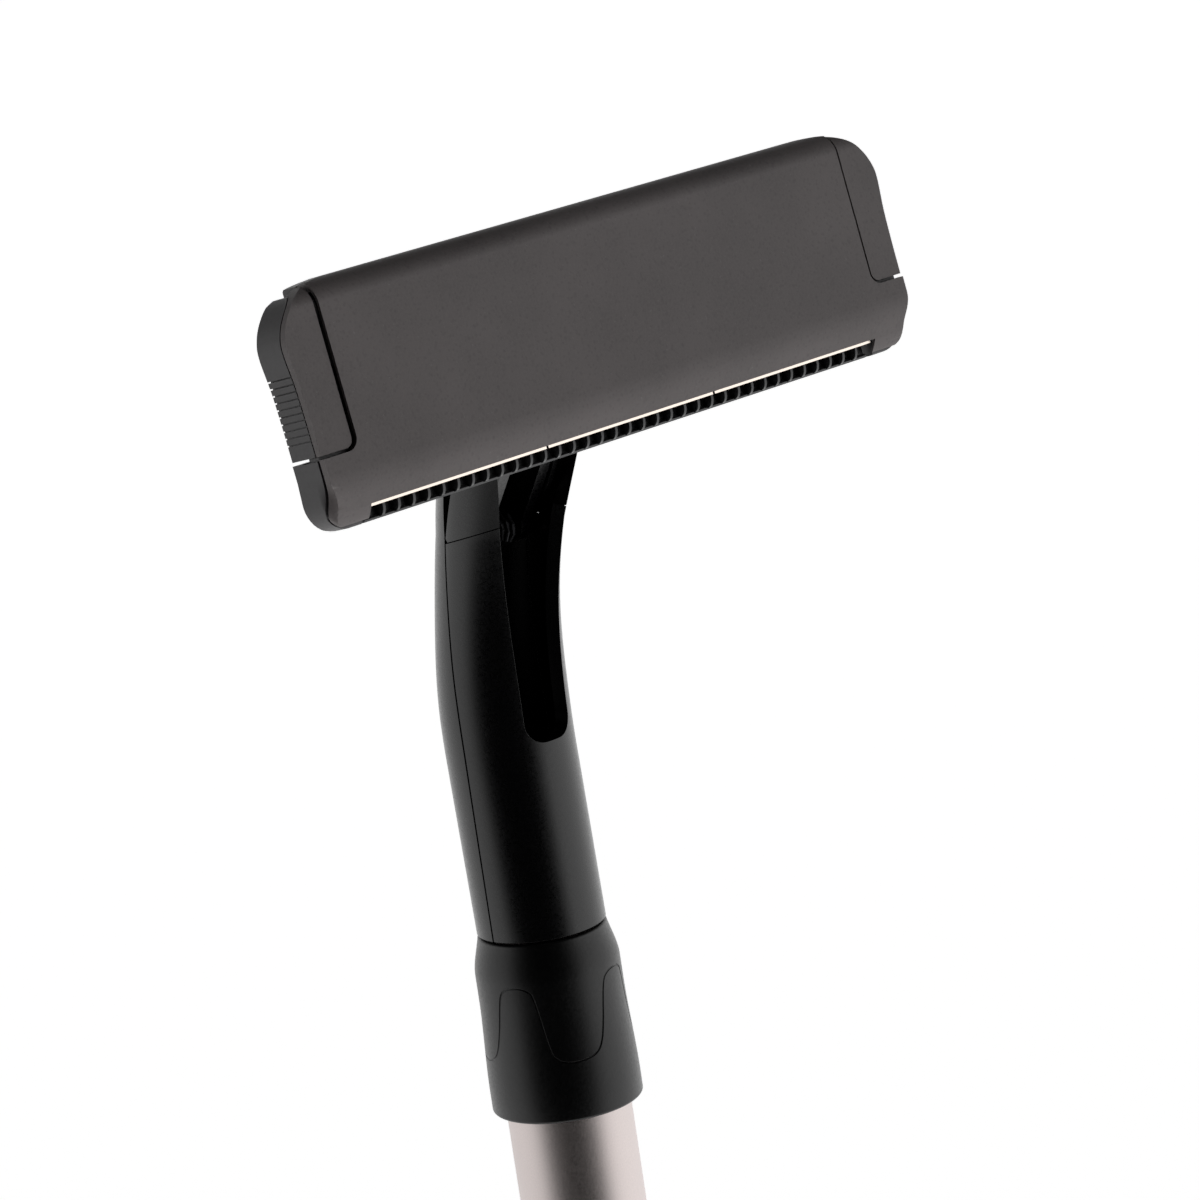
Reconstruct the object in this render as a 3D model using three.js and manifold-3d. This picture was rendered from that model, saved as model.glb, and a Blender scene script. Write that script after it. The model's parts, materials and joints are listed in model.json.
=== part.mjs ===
// Wide cartridge razor for the back, on a telescoping pole.
// Units are millimetres, +Z runs up the pole, +X along the head, and the shaving face looks towards -Y.
// The origin is the middle of the flat foot of the grip's end cap.

import * as THREE from 'three';
import { mergeVertices } from 'three/addons/utils/BufferGeometryUtils.js';
import Module from 'manifold-3d';

const wasm = await Module();
wasm.setup();

// ---------------------------------------------------------------- driving dimensions

const seamGap = 0.3;          // clearance between pieces that meet face to face
const roundSegments = 40;     // facets round the pole
const neckSegments = 32;

// Pole and grip
const poleRadius = 9.5;
const poleBore = 8.6;
const innerPoleRadius = 7.5;
const innerPoleBore = 6.7;
const collarFoot = 215;       // height of the locking collar's lower rim
const poleFoot = 6;
const poleInCollar = 14;      // how far the pole reaches up inside the collar
const gripFoot = 14;
const gripTop = 128;
const innerPoleFoot = -195;   // lower end of the inner pole, from the collar's rim

// Locking collar, from its lower rim
const collarHeight = 27.6;
const collarFootRadius = 11.5;
const collarWaistRadius = 11.02;
const collarTopRadius = 9.95;
const collarShoulder = 21.5;

// Neck, from the collar's lower rim
const neckFoot = 28;
const neckTop = 127;
const neckWall = 2;
const neckLean = 0.03;        // backward lean of the straight stretch
const bendStart = 55;
const bendRadius = 103;
const tubeTop = 47;           // upper end of the inner pole inside the neck
const flexPivot = { y: -2.3, z: 89.3 };
const flexGap = THREE.MathUtils.degToRad(12);   // opening of the V behind the yoke
const yokeSeamSlope = Math.tan(THREE.MathUtils.degToRad(13));
const pinRadius = 1.5;
const windowFoot = 57.4;
const windowHalfWidth = 4.5;
const windowWidest = 8.6;

// Head, in its own frame: x along the head, u up the face, n out of the face
const headOrigin = { y: -37.7, z: 107.5 };
const headTilt = THREE.MathUtils.degToRad(79.3);
const headDepth = 6.8;
const headTop = 31.5;
const headFoot = -2.4;
const topRoll = 3.5;
const cornerDepth = 3;        // the lower corners turn from round to square over this depth
const skinThickness = 0.5;
const skinGap = 0.2;
const cornerFlange = 1.05;    // depth of the backing's flange at the lower corners
const rimDepth = 1;           // how far the skin turns back round the outline
const rimWall = 1.2;
const buttonSeam = 52.7;      // inner edge of a side button
const buttonFoot = 8.2;
const buttonRecess = 0.35;    // how far a button's face and top sit below the cartridge's
const buttonWall = 2.2;
const seamWidth = 0.65;       // gap beside a button, which its travel of 0.5 needs
const slitWidth = 0.6;
const gripGrooves = 10;
const combHalfLength = 51.3;
const ribPitch = 2.83;
const ribCount = 35;
const ribThickness = 0.45;
const bladeHalfLength = 50.9;
const bladeNotch = 0.3;       // gap between neighbouring blades

// ---------------------------------------------------------------- materials

function finish(color, roughness, metalness = 0) {
  return new THREE.MeshStandardMaterial({ color, roughness, metalness });
}

const faceSkin = finish(0x4c4948, 0.55);
const capPlastic = finish(0x3e3f42, 0.45);
const neckPlastic = finish(0x1c1c1f, 0.5);
const combPlastic = finish(0x1d1d1f, 0.45);
const softTouch = finish(0x222224, 0.75);
const anodised = finish(0xb0a8a0, 0.4, 0.9);
const steel = finish(0xd8d8d4, 0.25, 1);
const nylon = finish(0x8c8c88, 0.5);

// ---------------------------------------------------------------- solids

function solid(geometry) {
  const bare = geometry.index ? geometry : geometry.clone();
  bare.deleteAttribute('normal');
  bare.deleteAttribute('uv');
  const merged = mergeVertices(bare, 1e-4);
  return new wasm.Manifold(new wasm.Mesh({
    numProp: 3,
    vertProperties: new Float32Array(merged.attributes.position.array),
    triVerts: new Uint32Array(merged.index.array),
  }));
}

function geometryOf(manifold) {
  const mesh = manifold.getMesh();
  const geometry = new THREE.BufferGeometry();
  geometry.setAttribute('position', new THREE.BufferAttribute(new Float32Array(mesh.vertProperties), 3));
  geometry.setIndex(new THREE.BufferAttribute(new Uint32Array(mesh.triVerts), 1));
  return geometry;
}

function piece(name, manifold, material) {
  const mesh = new THREE.Mesh(geometryOf(manifold), material);
  mesh.name = name;
  return mesh;
}

function union(first, ...others) {
  return others.reduce((whole, next) => whole.add(next), first);
}

function box(x0, x1, y0, y1, z0, z1) {
  const geometry = new THREE.BoxGeometry(x1 - x0, y1 - y0, z1 - z0);
  geometry.translate((x0 + x1) / 2, (y0 + y1) / 2, (z0 + z1) / 2);
  return solid(geometry);
}

// A ring or solid of revolution about Z, from [radius, height] pairs that close on themselves or the axis.
function turned(profile, segments = roundSegments) {
  const points = profile.map(([radius, height]) => new THREE.Vector2(radius, height));
  if (profile[0][0] > 0) points.push(points[0].clone());
  const geometry = new THREE.LatheGeometry(points, segments);
  geometry.rotateX(Math.PI / 2);
  return solid(outward(geometry));
}

// Turns every triangle over when the volume comes out negative.
function outward(geometry) {
  const position = geometry.attributes.position;
  const index = geometry.index;
  const [a, b, c] = [new THREE.Vector3(), new THREE.Vector3(), new THREE.Vector3()];
  let volume = 0;
  for (let i = 0; i < index.count; i += 3) {
    a.fromBufferAttribute(position, index.getX(i));
    b.fromBufferAttribute(position, index.getX(i + 1));
    c.fromBufferAttribute(position, index.getX(i + 2));
    volume += a.dot(b.cross(c));
  }
  if (volume < 0) {
    for (let i = 0; i < index.count; i += 3) {
      const first = index.getX(i);
      index.setX(i, index.getX(i + 2));
      index.setX(i + 2, first);
    }
  }
  return geometry;
}

function cylinder(radius, length, segments = 24) {
  return turned([[0, 0], [radius, 0], [radius, length], [0, length]], segments);
}

// Extrudes an outline of [a, b] points from height 0 to height length along Z.
function extruded(points, length) {
  const shape = new THREE.Shape(points.map(([a, b]) => new THREE.Vector2(a, b)));
  return new THREE.ExtrudeGeometry(shape, { depth: length, bevelEnabled: false });
}

// Prism in the x-u plane of the head, between two depths.
function frontPrism(points, from, to) {
  const geometry = extruded(points, to - from);
  geometry.translate(0, 0, from);
  return solid(geometry);
}

// Prism along X of an outline of [y, z] points, between two x values.
function sidePrism(points, from, to) {
  const geometry = extruded(points, to - from);
  geometry.applyMatrix4(new THREE.Matrix4().makeBasis(
    new THREE.Vector3(0, 1, 0), new THREE.Vector3(0, 0, 1), new THREE.Vector3(1, 0, 0)));
  geometry.translate(from, 0, 0);
  return solid(geometry);
}

// Prism along X of an outline of [n, u] points in the head's frame.
function headProfilePrism(points, from, to) {
  return sidePrism(points.map(([n, u]) => [u, n]).reverse(), from, to);
}

// Wire or rod of round section along a curve.
function wire(curve, radius, steps, sides = 6) {
  const section = new THREE.Shape().absarc(0, 0, radius, 0, 2 * Math.PI);
  const points = section.getPoints(sides).slice(0, sides);
  const geometry = new THREE.ExtrudeGeometry(new THREE.Shape(points), {
    steps, extrudePath: curve, bevelEnabled: false, curveSegments: 1,
  });
  return solid(geometry);
}

function helix(radius, length, turns) {
  const curve = new THREE.Curve();
  curve.getPoint = (t, target = new THREE.Vector3()) => target.set(
    length * t, radius * Math.cos(2 * Math.PI * turns * t), radius * Math.sin(2 * Math.PI * turns * t));
  return curve;
}

function samples(from, to, count) {
  return Array.from({ length: count + 1 }, (unused, i) => from + (to - from) * i / count);
}

// Pan-head screw standing on Z: the head's underside is at 0 and the shank points down.
function screw(shankRadius, shankLength, headRadius, headHeight) {
  const body = turned([
    [0, -shankLength], [shankRadius * 0.6, -shankLength], [shankRadius, -shankLength + 1], [shankRadius, 0],
    [headRadius, 0], [headRadius, headHeight * 0.6], [headRadius * 0.8, headHeight], [0, headHeight],
  ], 16);
  const slotWidth = headRadius * 0.3;
  const slotLength = headRadius * 1.3;
  const slot = (across, along) => box(
    -across / 2, across / 2, -along / 2, along / 2, headHeight * 0.4, headHeight * 2);
  return body.subtract(slot(slotWidth, slotLength)).subtract(slot(slotLength, slotWidth));
}

// ---------------------------------------------------------------- pole and grip

function outerPole() {
  return turned([
    [poleBore, poleFoot], [poleRadius, poleFoot],
    [poleRadius, collarFoot + poleInCollar], [poleBore, collarFoot + poleInCollar],
  ]);
}

// Soft sleeve with a swell for the palm, and finger rings cut round it near its top.
const sleeveWall = 2.4;
const sleeveSwell = 1.6;
const sleeveRings = 5;
const sleeveRingPitch = 6;
const sleeveRingWidth = 1.8;
const sleeveRingDepth = 0.7;

function sleeveRadius(height) {
  const t = (height - gripFoot) / (gripTop - gripFoot);
  return poleRadius + seamGap + sleeveWall + sleeveSwell * Math.sin(Math.PI * t) ** 2 * (1 - 0.35 * t);
}

function gripSleeve() {
  const bore = poleRadius + seamGap;
  const ringTop = gripTop - 12;
  const ringFoot = ringTop - sleeveRings * sleeveRingPitch;
  const palm = samples(gripFoot + 2, ringFoot, 7);
  const rings = samples(ringFoot, ringTop, sleeveRings).slice(0, -1).flatMap((height) => {
    const middle = height + sleeveRingPitch / 2;
    const [foot, top] = [middle - sleeveRingWidth / 2, middle + sleeveRingWidth / 2];
    return [
      [sleeveRadius(foot), foot], [sleeveRadius(middle) - sleeveRingDepth, middle], [sleeveRadius(top), top],
    ];
  });
  return turned([
    [bore, gripFoot], [bore + sleeveWall - 0.8, gripFoot],
    ...palm.map((height) => [sleeveRadius(height), height]),
    ...rings, [sleeveRadius(ringTop), ringTop], [sleeveRadius(gripTop - 1.5), gripTop - 1.5],
    [bore + sleeveWall - 0.9, gripTop], [bore, gripTop],
  ], 32);
}

function endCap() {
  const outer = 12.2;
  return turned([
    [0, 0], [outer - 1.6, 0], [outer - 0.5, 0.5], [outer, 1.6], [outer, gripFoot - seamGap],
    [poleRadius + seamGap, gripFoot - seamGap], [poleRadius + seamGap, poleFoot - seamGap],
    [poleBore - seamGap, poleFoot - seamGap], [poleBore - seamGap, 16], [6.8, 16], [6.8, 3], [0, 3],
  ]);
}

// ---------------------------------------------------------------- twist lock

// Threaded ring glued on the pole's upper end, which guides the inner pole.
function lockFerrule() {
  const bore = innerPoleRadius + 0.12;
  return turned([
    [bore, 2], [poleBore - 0.12, 2], [poleBore - 0.12, poleInCollar + 0.2],
    [poleRadius, poleInCollar + 0.2], [poleRadius, 17], [bore, 17],
  ]);
}

// Split collet that the collar's taper squeezes on to the inner pole.
function lockCollet() {
  const bore = innerPoleRadius + 0.12;
  let collet = turned([
    [bore, 17.3], [9.3, 17.3], [9.3, 18.6], [8.9, 18.6], [8.6, 23.6], [bore, 23.6],
  ]);
  for (let i = 0; i < 3; i += 1) {
    const slot = box(-12, 12, -0.5, 0.5, 18.8, 25);
    collet = collet.subtract(slot.rotate([0, 0, 30 + 60 * i]));
  }
  return collet;
}

// Hard threaded core inside the collar.
function collarCore() {
  const bore = poleRadius + 0.2;
  const outer = poleRadius + 0.65;
  return turned([
    [bore, 2.2], [outer, 2.2], [outer, 19.5], [bore, 19.5],
  ]);
}

function eased(value, from, to) {
  return THREE.MathUtils.smoothstep(value, from, to);
}

// Wide at the foot, slightly waisted, and rounded in towards the top.
function collarRadius(height) {
  const flareTop = 18;
  const fullHeight = collarHeight + 1.6;
  return collarFootRadius - (collarFootRadius - collarWaistRadius) * eased(height, 3, flareTop)
    - 1.33 * (collarWaistRadius - collarTopRadius) * eased(height, collarShoulder, fullHeight);
}

function lockCollar() {
  const outer = [
    ...samples(0.35, collarShoulder, 4), ...samples(collarShoulder + 0.9, collarHeight - 0.3, 4),
  ].map((height) => [collarRadius(height), height]);
  const poleBoreRadius = poleRadius + 0.2;
  return turned([
    [poleBoreRadius, 0], [collarFootRadius - 0.35, 0], ...outer, [collarTopRadius - 0.3, collarHeight],
    [innerPoleRadius + seamGap, collarHeight], [innerPoleRadius + seamGap, 24.3], [9, 24.3], [9.55, 19.9],
    [poleRadius + 0.95, 19.8], [poleRadius + 0.95, 1.9], [poleBoreRadius, 1.9],
  ]);
}

// ---------------------------------------------------------------- inner pole

function innerPole() {
  const holeHeight = 36;
  const tube = turned([
    [innerPoleBore, innerPoleFoot], [innerPoleRadius, innerPoleFoot],
    [innerPoleRadius, tubeTop], [innerPoleBore, tubeTop],
  ], 40);
  return tube.subtract(alongY(cylinder(1.75, 14, 16), holeHeight));
}

// Turns a solid standing on Z so that it points towards +Y, at a height on the pole's axis.
function alongY(manifold, height, start = 0) {
  return manifold.rotate([-90, 0, 0]).translate([0, start, height]);
}

// Bush on the inner pole's lower end, which runs in the outer pole.
function innerPoleBush() {
  const foot = innerPoleFoot - 3;
  const rimTop = innerPoleFoot - seamGap;
  const spigotTop = innerPoleFoot + 9;
  const floorTop = innerPoleFoot - 0.5;
  const spigotRadius = innerPoleBore - 0.2;
  return turned([
    [3, foot], [8.45, foot], [8.45, rimTop], [spigotRadius, rimTop],
    [spigotRadius, spigotTop], [4.5, spigotTop], [4.5, floorTop], [3, floorTop],
  ], roundSegments);
}

// ---------------------------------------------------------------- neck

function neckCentre(z) {
  const past = Math.max(0, z - bendStart);
  return neckLean * (z - neckFoot) - (bendRadius - Math.sqrt(bendRadius ** 2 - past ** 2));
}

// Slim waist half way up, then a steady flare towards the head.
function neckRadius(z) {
  const waist = z > 60 && z < 100 ? 0.42 * Math.sin(Math.PI * (z - 60) / 40) ** 2 : 0;
  return 9.8 - waist + 0.065 * Math.max(0, z - 90);
}

// Round bar that follows the neck's centre line, with a radius given at each height.
function neckBar(from, to, radiusAt, steps) {
  const heights = samples(from, to, steps);
  const profile = [[0, from], ...heights.map((z) => [radiusAt(z), z]), [0, to]];
  const points = profile.map(([radius, height]) => new THREE.Vector2(radius, height));
  const geometry = new THREE.LatheGeometry(points, neckSegments);
  geometry.rotateX(Math.PI / 2);
  const position = geometry.attributes.position;
  for (let i = 0; i < position.count; i += 1) {
    position.setY(i, position.getY(i) + neckCentre(position.getZ(i)));
  }
  return solid(outward(geometry));
}

// Parting line between the front and rear shells, as a distance along Y.
function partingLine(z) {
  return 0.3 - 0.0045 * Math.max(0, z - 66) ** 2;
}

function rotateAboutPivot([y, z], angle) {
  const dy = y - flexPivot.y;
  const dz = z - flexPivot.z;
  return [
    flexPivot.y + dy * Math.cos(angle) - dz * Math.sin(angle),
    flexPivot.z + dy * Math.sin(angle) + dz * Math.cos(angle),
  ];
}

const far = 60;
const rearShellTop = 111;

// Side outline of everything in front of the parting line and below the yoke.
function frontRegion() {
  const seam = samples(neckFoot - 1, flexPivot.z, 16).map((z) => [partingLine(z) - seamGap / 2, z]);
  const lip = flexPivot.z - 0.1;
  return [
    ...seam.slice(0, -1), [flexPivot.y - 0.15, lip],
    [-far, lip + yokeSeamSlope * (far + flexPivot.y)], [-far, neckFoot - 1],
  ];
}

function rearRegion() {
  const seam = samples(neckFoot - 1, rearShellTop, 20).map((z) => [partingLine(z) + seamGap / 2, z]);
  return [...seam, [far, rearShellTop + 14], [far, neckFoot - 1]].reverse();
}

// Side outline of the yoke: above its seam, in front of the V, and over the top of the rear shell.
function yokeRegion() {
  const lip = flexPivot.z + 0.1;
  const vee = samples(flexPivot.z + 0.8, rearShellTop - 1, 8)
    .map((z) => rotateAboutPivot([partingLine(z), z], flexGap));
  const roofStart = rearShellTop + 1.2;
  return [
    [flexPivot.y - 0.5, lip + 0.2], ...vee, [partingLine(rearShellTop) - 5.2, roofStart],
    [partingLine(rearShellTop) + 0.4, roofStart + 0.1], [far, roofStart + 14], [far, neckTop + 20],
    [-far, neckTop + 20], [-far, lip + yokeSeamSlope * (far + flexPivot.y)],
  ].reverse();
}

// Two plates inside the rear shell that close the V from within, clear of the yoke's cheeks and arms.
function innerSkirts() {
  const reach = 3.6;
  const front = samples(flexPivot.z, rearShellTop - 1.5, 8).map((z) => {
    const [y, height] = rotateAboutPivot([partingLine(z), z], flexGap);
    return [y - reach * eased(z, flexPivot.z, flexPivot.z + 6), height];
  });
  const region = [...front, [far, rearShellTop - 2.5], [far, flexPivot.z]].reverse();
  return mirrored((side) => sidePrism(region, ...sideSpan(side, 5.65, 6.45)));
}

function windowCutter() {
  const widthAt = (z) => Math.min(windowHalfWidth + 0.0024 * Math.max(0, z - 60) ** 2, windowWidest);
  const corner = 3.2;
  const side = samples(windowFoot + corner, neckTop - 9, 14).map((z) => [widthAt(z), z]);
  const round = samples(-Math.PI / 2, 0, 5).slice(0, -1).map((angle) => [
    windowHalfWidth - corner + corner * Math.cos(angle), windowFoot + corner + corner * Math.sin(angle)]);
  const right = [...round, ...side];
  const left = right.map(([x, z]) => [-x, z]).reverse();
  const geometry = extruded([...right, ...left], far);
  geometry.rotateX(Math.PI / 2);
  return solid(geometry);
}

function pivotBar(radius, from, to, segments = 20) {
  const bar = cylinder(radius, to - from, segments).rotate([0, 90, 0]);
  return bar.translate([from, flexPivot.y, flexPivot.z]);
}

function mirrored(make) {
  return union(make(1), make(-1));
}

// Stretch of x between two distances from the middle, on one side.
function sideSpan(side, near, past) {
  return [Math.min(side * near, side * past), Math.max(side * near, side * past)];
}

// Torsion spring on the pin: its lower leg bears on the rear shell and its upper leg on the yoke.
function flexSpring() {
  const radius = 2.5;
  const halfLength = 2.6;
  const leg = 8;
  const start = THREE.MathUtils.degToRad(30);
  const end = THREE.MathUtils.degToRad(36.9) + 2 * Math.PI * 5;
  const coilLength = radius * (end - start);
  const total = coilLength + 2 * leg;
  const curve = new THREE.Curve();
  curve.getPoint = (t, target = new THREE.Vector3()) => {
    const travelled = t * total - leg;
    const past = travelled - Math.min(Math.max(travelled, 0), coilLength);
    const angle = start + Math.min(Math.max(travelled, 0), coilLength) / radius;
    const x = -halfLength + 2 * halfLength * (angle - start) / (end - start);
    return target.set(
      x, flexPivot.y + radius * Math.cos(angle) - past * Math.sin(angle),
      flexPivot.z + radius * Math.sin(angle) + past * Math.cos(angle));
  };
  return wire(curve, 0.45, 64, 6);
}

function neckPieces() {
  const outer = neckBar(neckFoot, neckTop, neckRadius, 17);
  const hollow = union(
    neckBar(tubeTop + 1, neckTop + 2, (z) => neckRadius(z) - neckWall, 11),
    cylinder(innerPoleRadius + seamGap, tubeTop + 2 - neckFoot + 2, 40).translate([0, 0, neckFoot - 2]));
  const shell = outer.subtract(hollow);
  const opening = windowCutter();
  const screwHeights = { lower: 36, upper: 52.5 };

  const frontSpace = sidePrism(frontRegion(), -20, 20);
  const post = alongY(cylinder(2.6, 13, 20), screwHeights.upper, -8.5)
    .subtract(alongY(cylinder(1.1, 14, 12), screwHeights.upper, -3));
  const front = shell.intersect(frontSpace).subtract(opening).add(post);

  const bosses = mirrored((side) => pivotBar(2.8, ...sideSpan(side, 5.6, 7.1)));
  const pinHole = pivotBar(pinRadius + 0.05, -7.6, 7.6);
  const screwSeat = (height, floor) => union(
    alongY(cylinder(1.7, 8, 16), height, 4), alongY(cylinder(3, 8, 20), height, floor));
  const seats = union(screwSeat(screwHeights.lower, 8.7), screwSeat(screwHeights.upper, 9));
  const skirts = innerSkirts().intersect(outer).subtract(frontSpace);
  const rear = shell.intersect(sidePrism(rearRegion(), -20, 20)).add(skirts).add(bosses)
    .subtract(pinHole).subtract(seats);

  return {
    outer, shell, opening, front, rear,
    lowerScrew: alongY(screw(1.4, 5, 2.7, 1.1), screwHeights.lower, 8.9),
    upperScrew: alongY(screw(1.4, 5, 2.7, 1.1), screwHeights.upper, 9.2),
    frontClear: pivotBar(3.1, -7.6, 7.6),
  };
}

// Head bearer: two cheeks that carry on the front shell, a closed crown, and two eyes on the pivot pin.
function headYoke({ outer, shell, opening }) {
  const region = sidePrism(yokeRegion(), -20, 20);
  const crownFoot = 108;
  const crown = outer.intersect(box(-20, 20, -far, far, crownFoot + 6, neckTop + 5));
  const eyes = mirrored((side) => pivotBar(3, ...sideSpan(side, 3.2, 5.3)));
  const armOutline = [
    [flexPivot.y - 2.9, flexPivot.z], [flexPivot.y + 0.2, flexPivot.z + 2.9],
    [-14.5, crownFoot + 9], [-24, crownFoot + 9],
  ].reverse();
  const arms = mirrored((side) => sidePrism(armOutline, ...sideSpan(side, 3.2, 5.3)));
  const shape = shell.subtract(opening).add(crown).intersect(region);
  const inside = union(eyes, arms.intersect(outer));
  return shape.add(inside).subtract(pivotBar(pinRadius + 0.05, -7.6, 7.6));
}

// ---------------------------------------------------------------- head

// Right half of the head's outline, from the middle of the lower edge up to the middle of the top.
// The lower corner is round at the face and squarer behind it.
function rightOutline(depth) {
  const faceCorner = new THREE.CubicBezierCurve(
    new THREE.Vector2(47, -2.2), new THREE.Vector2(52.5, -2),
    new THREE.Vector2(58.6, 0.6), new THREE.Vector2(58.7, 5.2));
  const backRadius = 4.5;
  const backCorner = new THREE.Path();
  backCorner.moveTo(47, headFoot);
  backCorner.absarc(54.4, headFoot + backRadius, backRadius, -Math.PI / 2, 0, false);
  backCorner.lineTo(58.7, 5.2);
  const squareness = eased(-depth, 0, cornerDepth);
  const steps = 14;
  const corner = samples(0, 1, steps).map((t) => (
    faceCorner.getPointAt(t).lerp(backCorner.getPointAt(t), squareness)));
  const side = new THREE.SplineCurve([
    new THREE.Vector2(58.7, 5.2), new THREE.Vector2(58.72, 9), new THREE.Vector2(58.75, 13),
    new THREE.Vector2(58.9, 18), new THREE.Vector2(59.35, 22.9), new THREE.Vector2(58.95, 25.2),
    new THREE.Vector2(57.7, 27.4), new THREE.Vector2(55.5, 29.5), new THREE.Vector2(52, 31),
    new THREE.Vector2(47.5, headTop),
  ]);
  return [...corner, ...side.getPoints(22).slice(1)];
}

function insetPoints(points, distance) {
  return points.map((point, i) => {
    const before = points[(i + points.length - 1) % points.length];
    const after = points[(i + 1) % points.length];
    const along = new THREE.Vector2(after[0] - before[0], after[1] - before[1]).normalize();
    return [point[0] - along.y * distance, point[1] + along.x * distance];
  });
}

function headOutline(inset, depth) {
  const right = rightOutline(depth).map((point) => [point.x, point.y]);
  const left = right.map(([x, u]) => [-x, u]).reverse();
  return insetPoints([...right, ...left], inset);
}

// Solid through outlines of equal length, given from back to front as [depth, points].
function lofted(rings) {
  const count = rings[0][1].length;
  const position = rings.flatMap(([depth, points]) => points.flatMap(([x, u]) => [x, u, depth]));
  const cap = THREE.ShapeUtils.triangulateShape(rings[0][1].map(([x, u]) => new THREE.Vector2(x, u)), []);
  const last = (rings.length - 1) * count;
  const index = cap.flatMap(([a, b, c]) => [c, b, a, last + a, last + b, last + c]);
  for (let ring = 0; ring < rings.length - 1; ring += 1) {
    for (let i = 0; i < count; i += 1) {
      const [a, b] = [ring * count + i, ring * count + (i + 1) % count];
      index.push(a, b, b + count, a, b + count, a + count);
    }
  }
  const geometry = new THREE.BufferGeometry();
  geometry.setAttribute('position', new THREE.Float32BufferAttribute(position, 3));
  geometry.setIndex(index);
  return solid(outward(geometry));
}

// Section through the head, rolled over at the top and at the lower front edge, inset from the face.
function headSection(inset = 0) {
  const curve = new THREE.Path();
  const back = -headDepth;
  curve.moveTo(back, headFoot + 0.6);
  curve.lineTo(back + 0.6, headFoot);
  curve.lineTo(-4.3, headFoot);
  curve.bezierCurveTo(-3.3, headFoot, -2.5 - inset, -1.2 + inset / 2, -1.75 - inset, 0);
  curve.bezierCurveTo(-1 - inset, 1.5, -inset, 3, -inset, 5.4);
  curve.lineTo(-inset, headTop - topRoll);
  curve.absarc(-topRoll, headTop - topRoll, topRoll - inset, 0, Math.PI / 2, false);
  curve.lineTo(back + 0.8, headTop - inset);
  curve.lineTo(back, headTop - 0.8 - inset);
  return curve.getPoints(8).map((point) => [point.x, point.y]);
}

function headBlock(outlineInset, sectionInset) {
  const depths = [-headDepth - 1, -cornerDepth, -2 * cornerDepth / 3, -cornerDepth / 3, 0, 1];
  return lofted(depths.map((depth) => [depth, headOutline(outlineInset, depth)]))
    .intersect(headProfilePrism(headSection(sectionInset), -70, 70));
}

// Space of one side button, seen from the front, grown by a margin.
function buttonSpace(side, margin) {
  const inner = buttonSeam - margin;
  const foot = buttonFoot - margin * 0.75;
  const corner = 1.3 + margin;
  const outline = [
    [70, foot], [70, 50], [inner, 50], [inner, foot + corner],
    ...samples(Math.PI, 1.5 * Math.PI, 4).slice(1).map((angle) => [
      inner + corner + corner * Math.cos(angle), foot + corner + corner * Math.sin(angle)]),
  ].reverse();
  const points = side > 0 ? outline : outline.map(([x, u]) => [-x, u]).reverse();
  return frontPrism(points, -20, 20);
}

function combSpace(margin) {
  const reach = combHalfLength + margin;
  return box(-reach, reach, -20, 0, -20, 20);
}

const buttonSpaces = mirrored((side) => buttonSpace(side, seamWidth));

// How far back the skin reaches: round the whole roll at the top, and over the fold at the lower edge.
function skinReach() {
  return union(box(-70, 70, 10, 40, -topRoll, 5), box(-70, 70, -20, 10, -3.2, 5));
}

// Skin over the face with a rim that turns back round the outline, its face set back by a recess.
function skinShell(recess) {
  const block = headBlock(0, recess);
  const sheet = block.subtract(headBlock(-2, recess + skinThickness));
  const rim = block.subtract(headBlock(-2, recess + rimDepth)).subtract(headBlock(rimWall, -3));
  return sheet.add(rim).intersect(skinReach());
}

// Room that the skin needs in the piece behind it.
function skinRoom(recess) {
  const all = headBlock(-1, -1);
  const sheet = all.subtract(headBlock(-2, recess + skinThickness + skinGap));
  const rim = all.subtract(headBlock(-2, recess + rimDepth + skinGap))
    .subtract(headBlock(rimWall + skinGap, -3));
  return sheet.add(rim);
}

// Textured skin over the whole face, which rolls back over the top edge.
function facePlate() {
  return skinShell(0).subtract(buttonSpaces).subtract(combSpace(0));
}

function bothSides(from, to, u0, u1, n0, n1) {
  return mirrored((side) => box(...sideSpan(side, from, to), u0, u1, n0, n1));
}

// Backing that the skin sits in, which holds the latches' pockets.
function cartridgeBody() {
  const backingTop = 28.6;
  const backingBack = -2.2;
  const front = headBlock(0, 0).intersect(box(-70, 70, -20, backingTop, backingBack, 5));
  const corners = bothSides(51.9, 70, -20, 20, -20, -cornerFlange);
  const pockets = bothSides(49.4, 60, 12.6, 19.4, -20, 5);
  return front.subtract(skinRoom(0)).subtract(corners).subtract(pockets).subtract(buttonSpaces)
    .subtract(box(-combHalfLength - 0.6, combHalfLength + 0.6, -20, 0.3, -20, 20));
}

const bladeFront = -2.5;
const bladeThickness = 0.35;
const bladeTop = 5;
const bladeEdge = -0.3;
const postOffset = 11;
const postHeight = 3.1;
const bladePitch = 2 * bladeHalfLength / 3;

function blade(index) {
  const start = -bladeHalfLength + index * bladePitch + (index > 0 ? bladeNotch / 2 : 0);
  const end = -bladeHalfLength + (index + 1) * bladePitch - (index < 2 ? bladeNotch / 2 : 0);
  const back = bladeFront - bladeThickness;
  const sheet = headProfilePrism([
    [back, bladeTop], [back, 0.2], [bladeFront - 0.06, bladeEdge],
    [bladeFront, bladeEdge + 0.05], [bladeFront, bladeTop],
  ], start, end);
  const centre = -bladeHalfLength + (index + 0.5) * bladePitch;
  const holes = [-postOffset, postOffset].map((offset) => (
    cylinder(1.3, 4, 16).translate([centre + offset, postHeight, -5])));
  return sheet.subtract(holes[0]).subtract(holes[1]);
}

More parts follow.
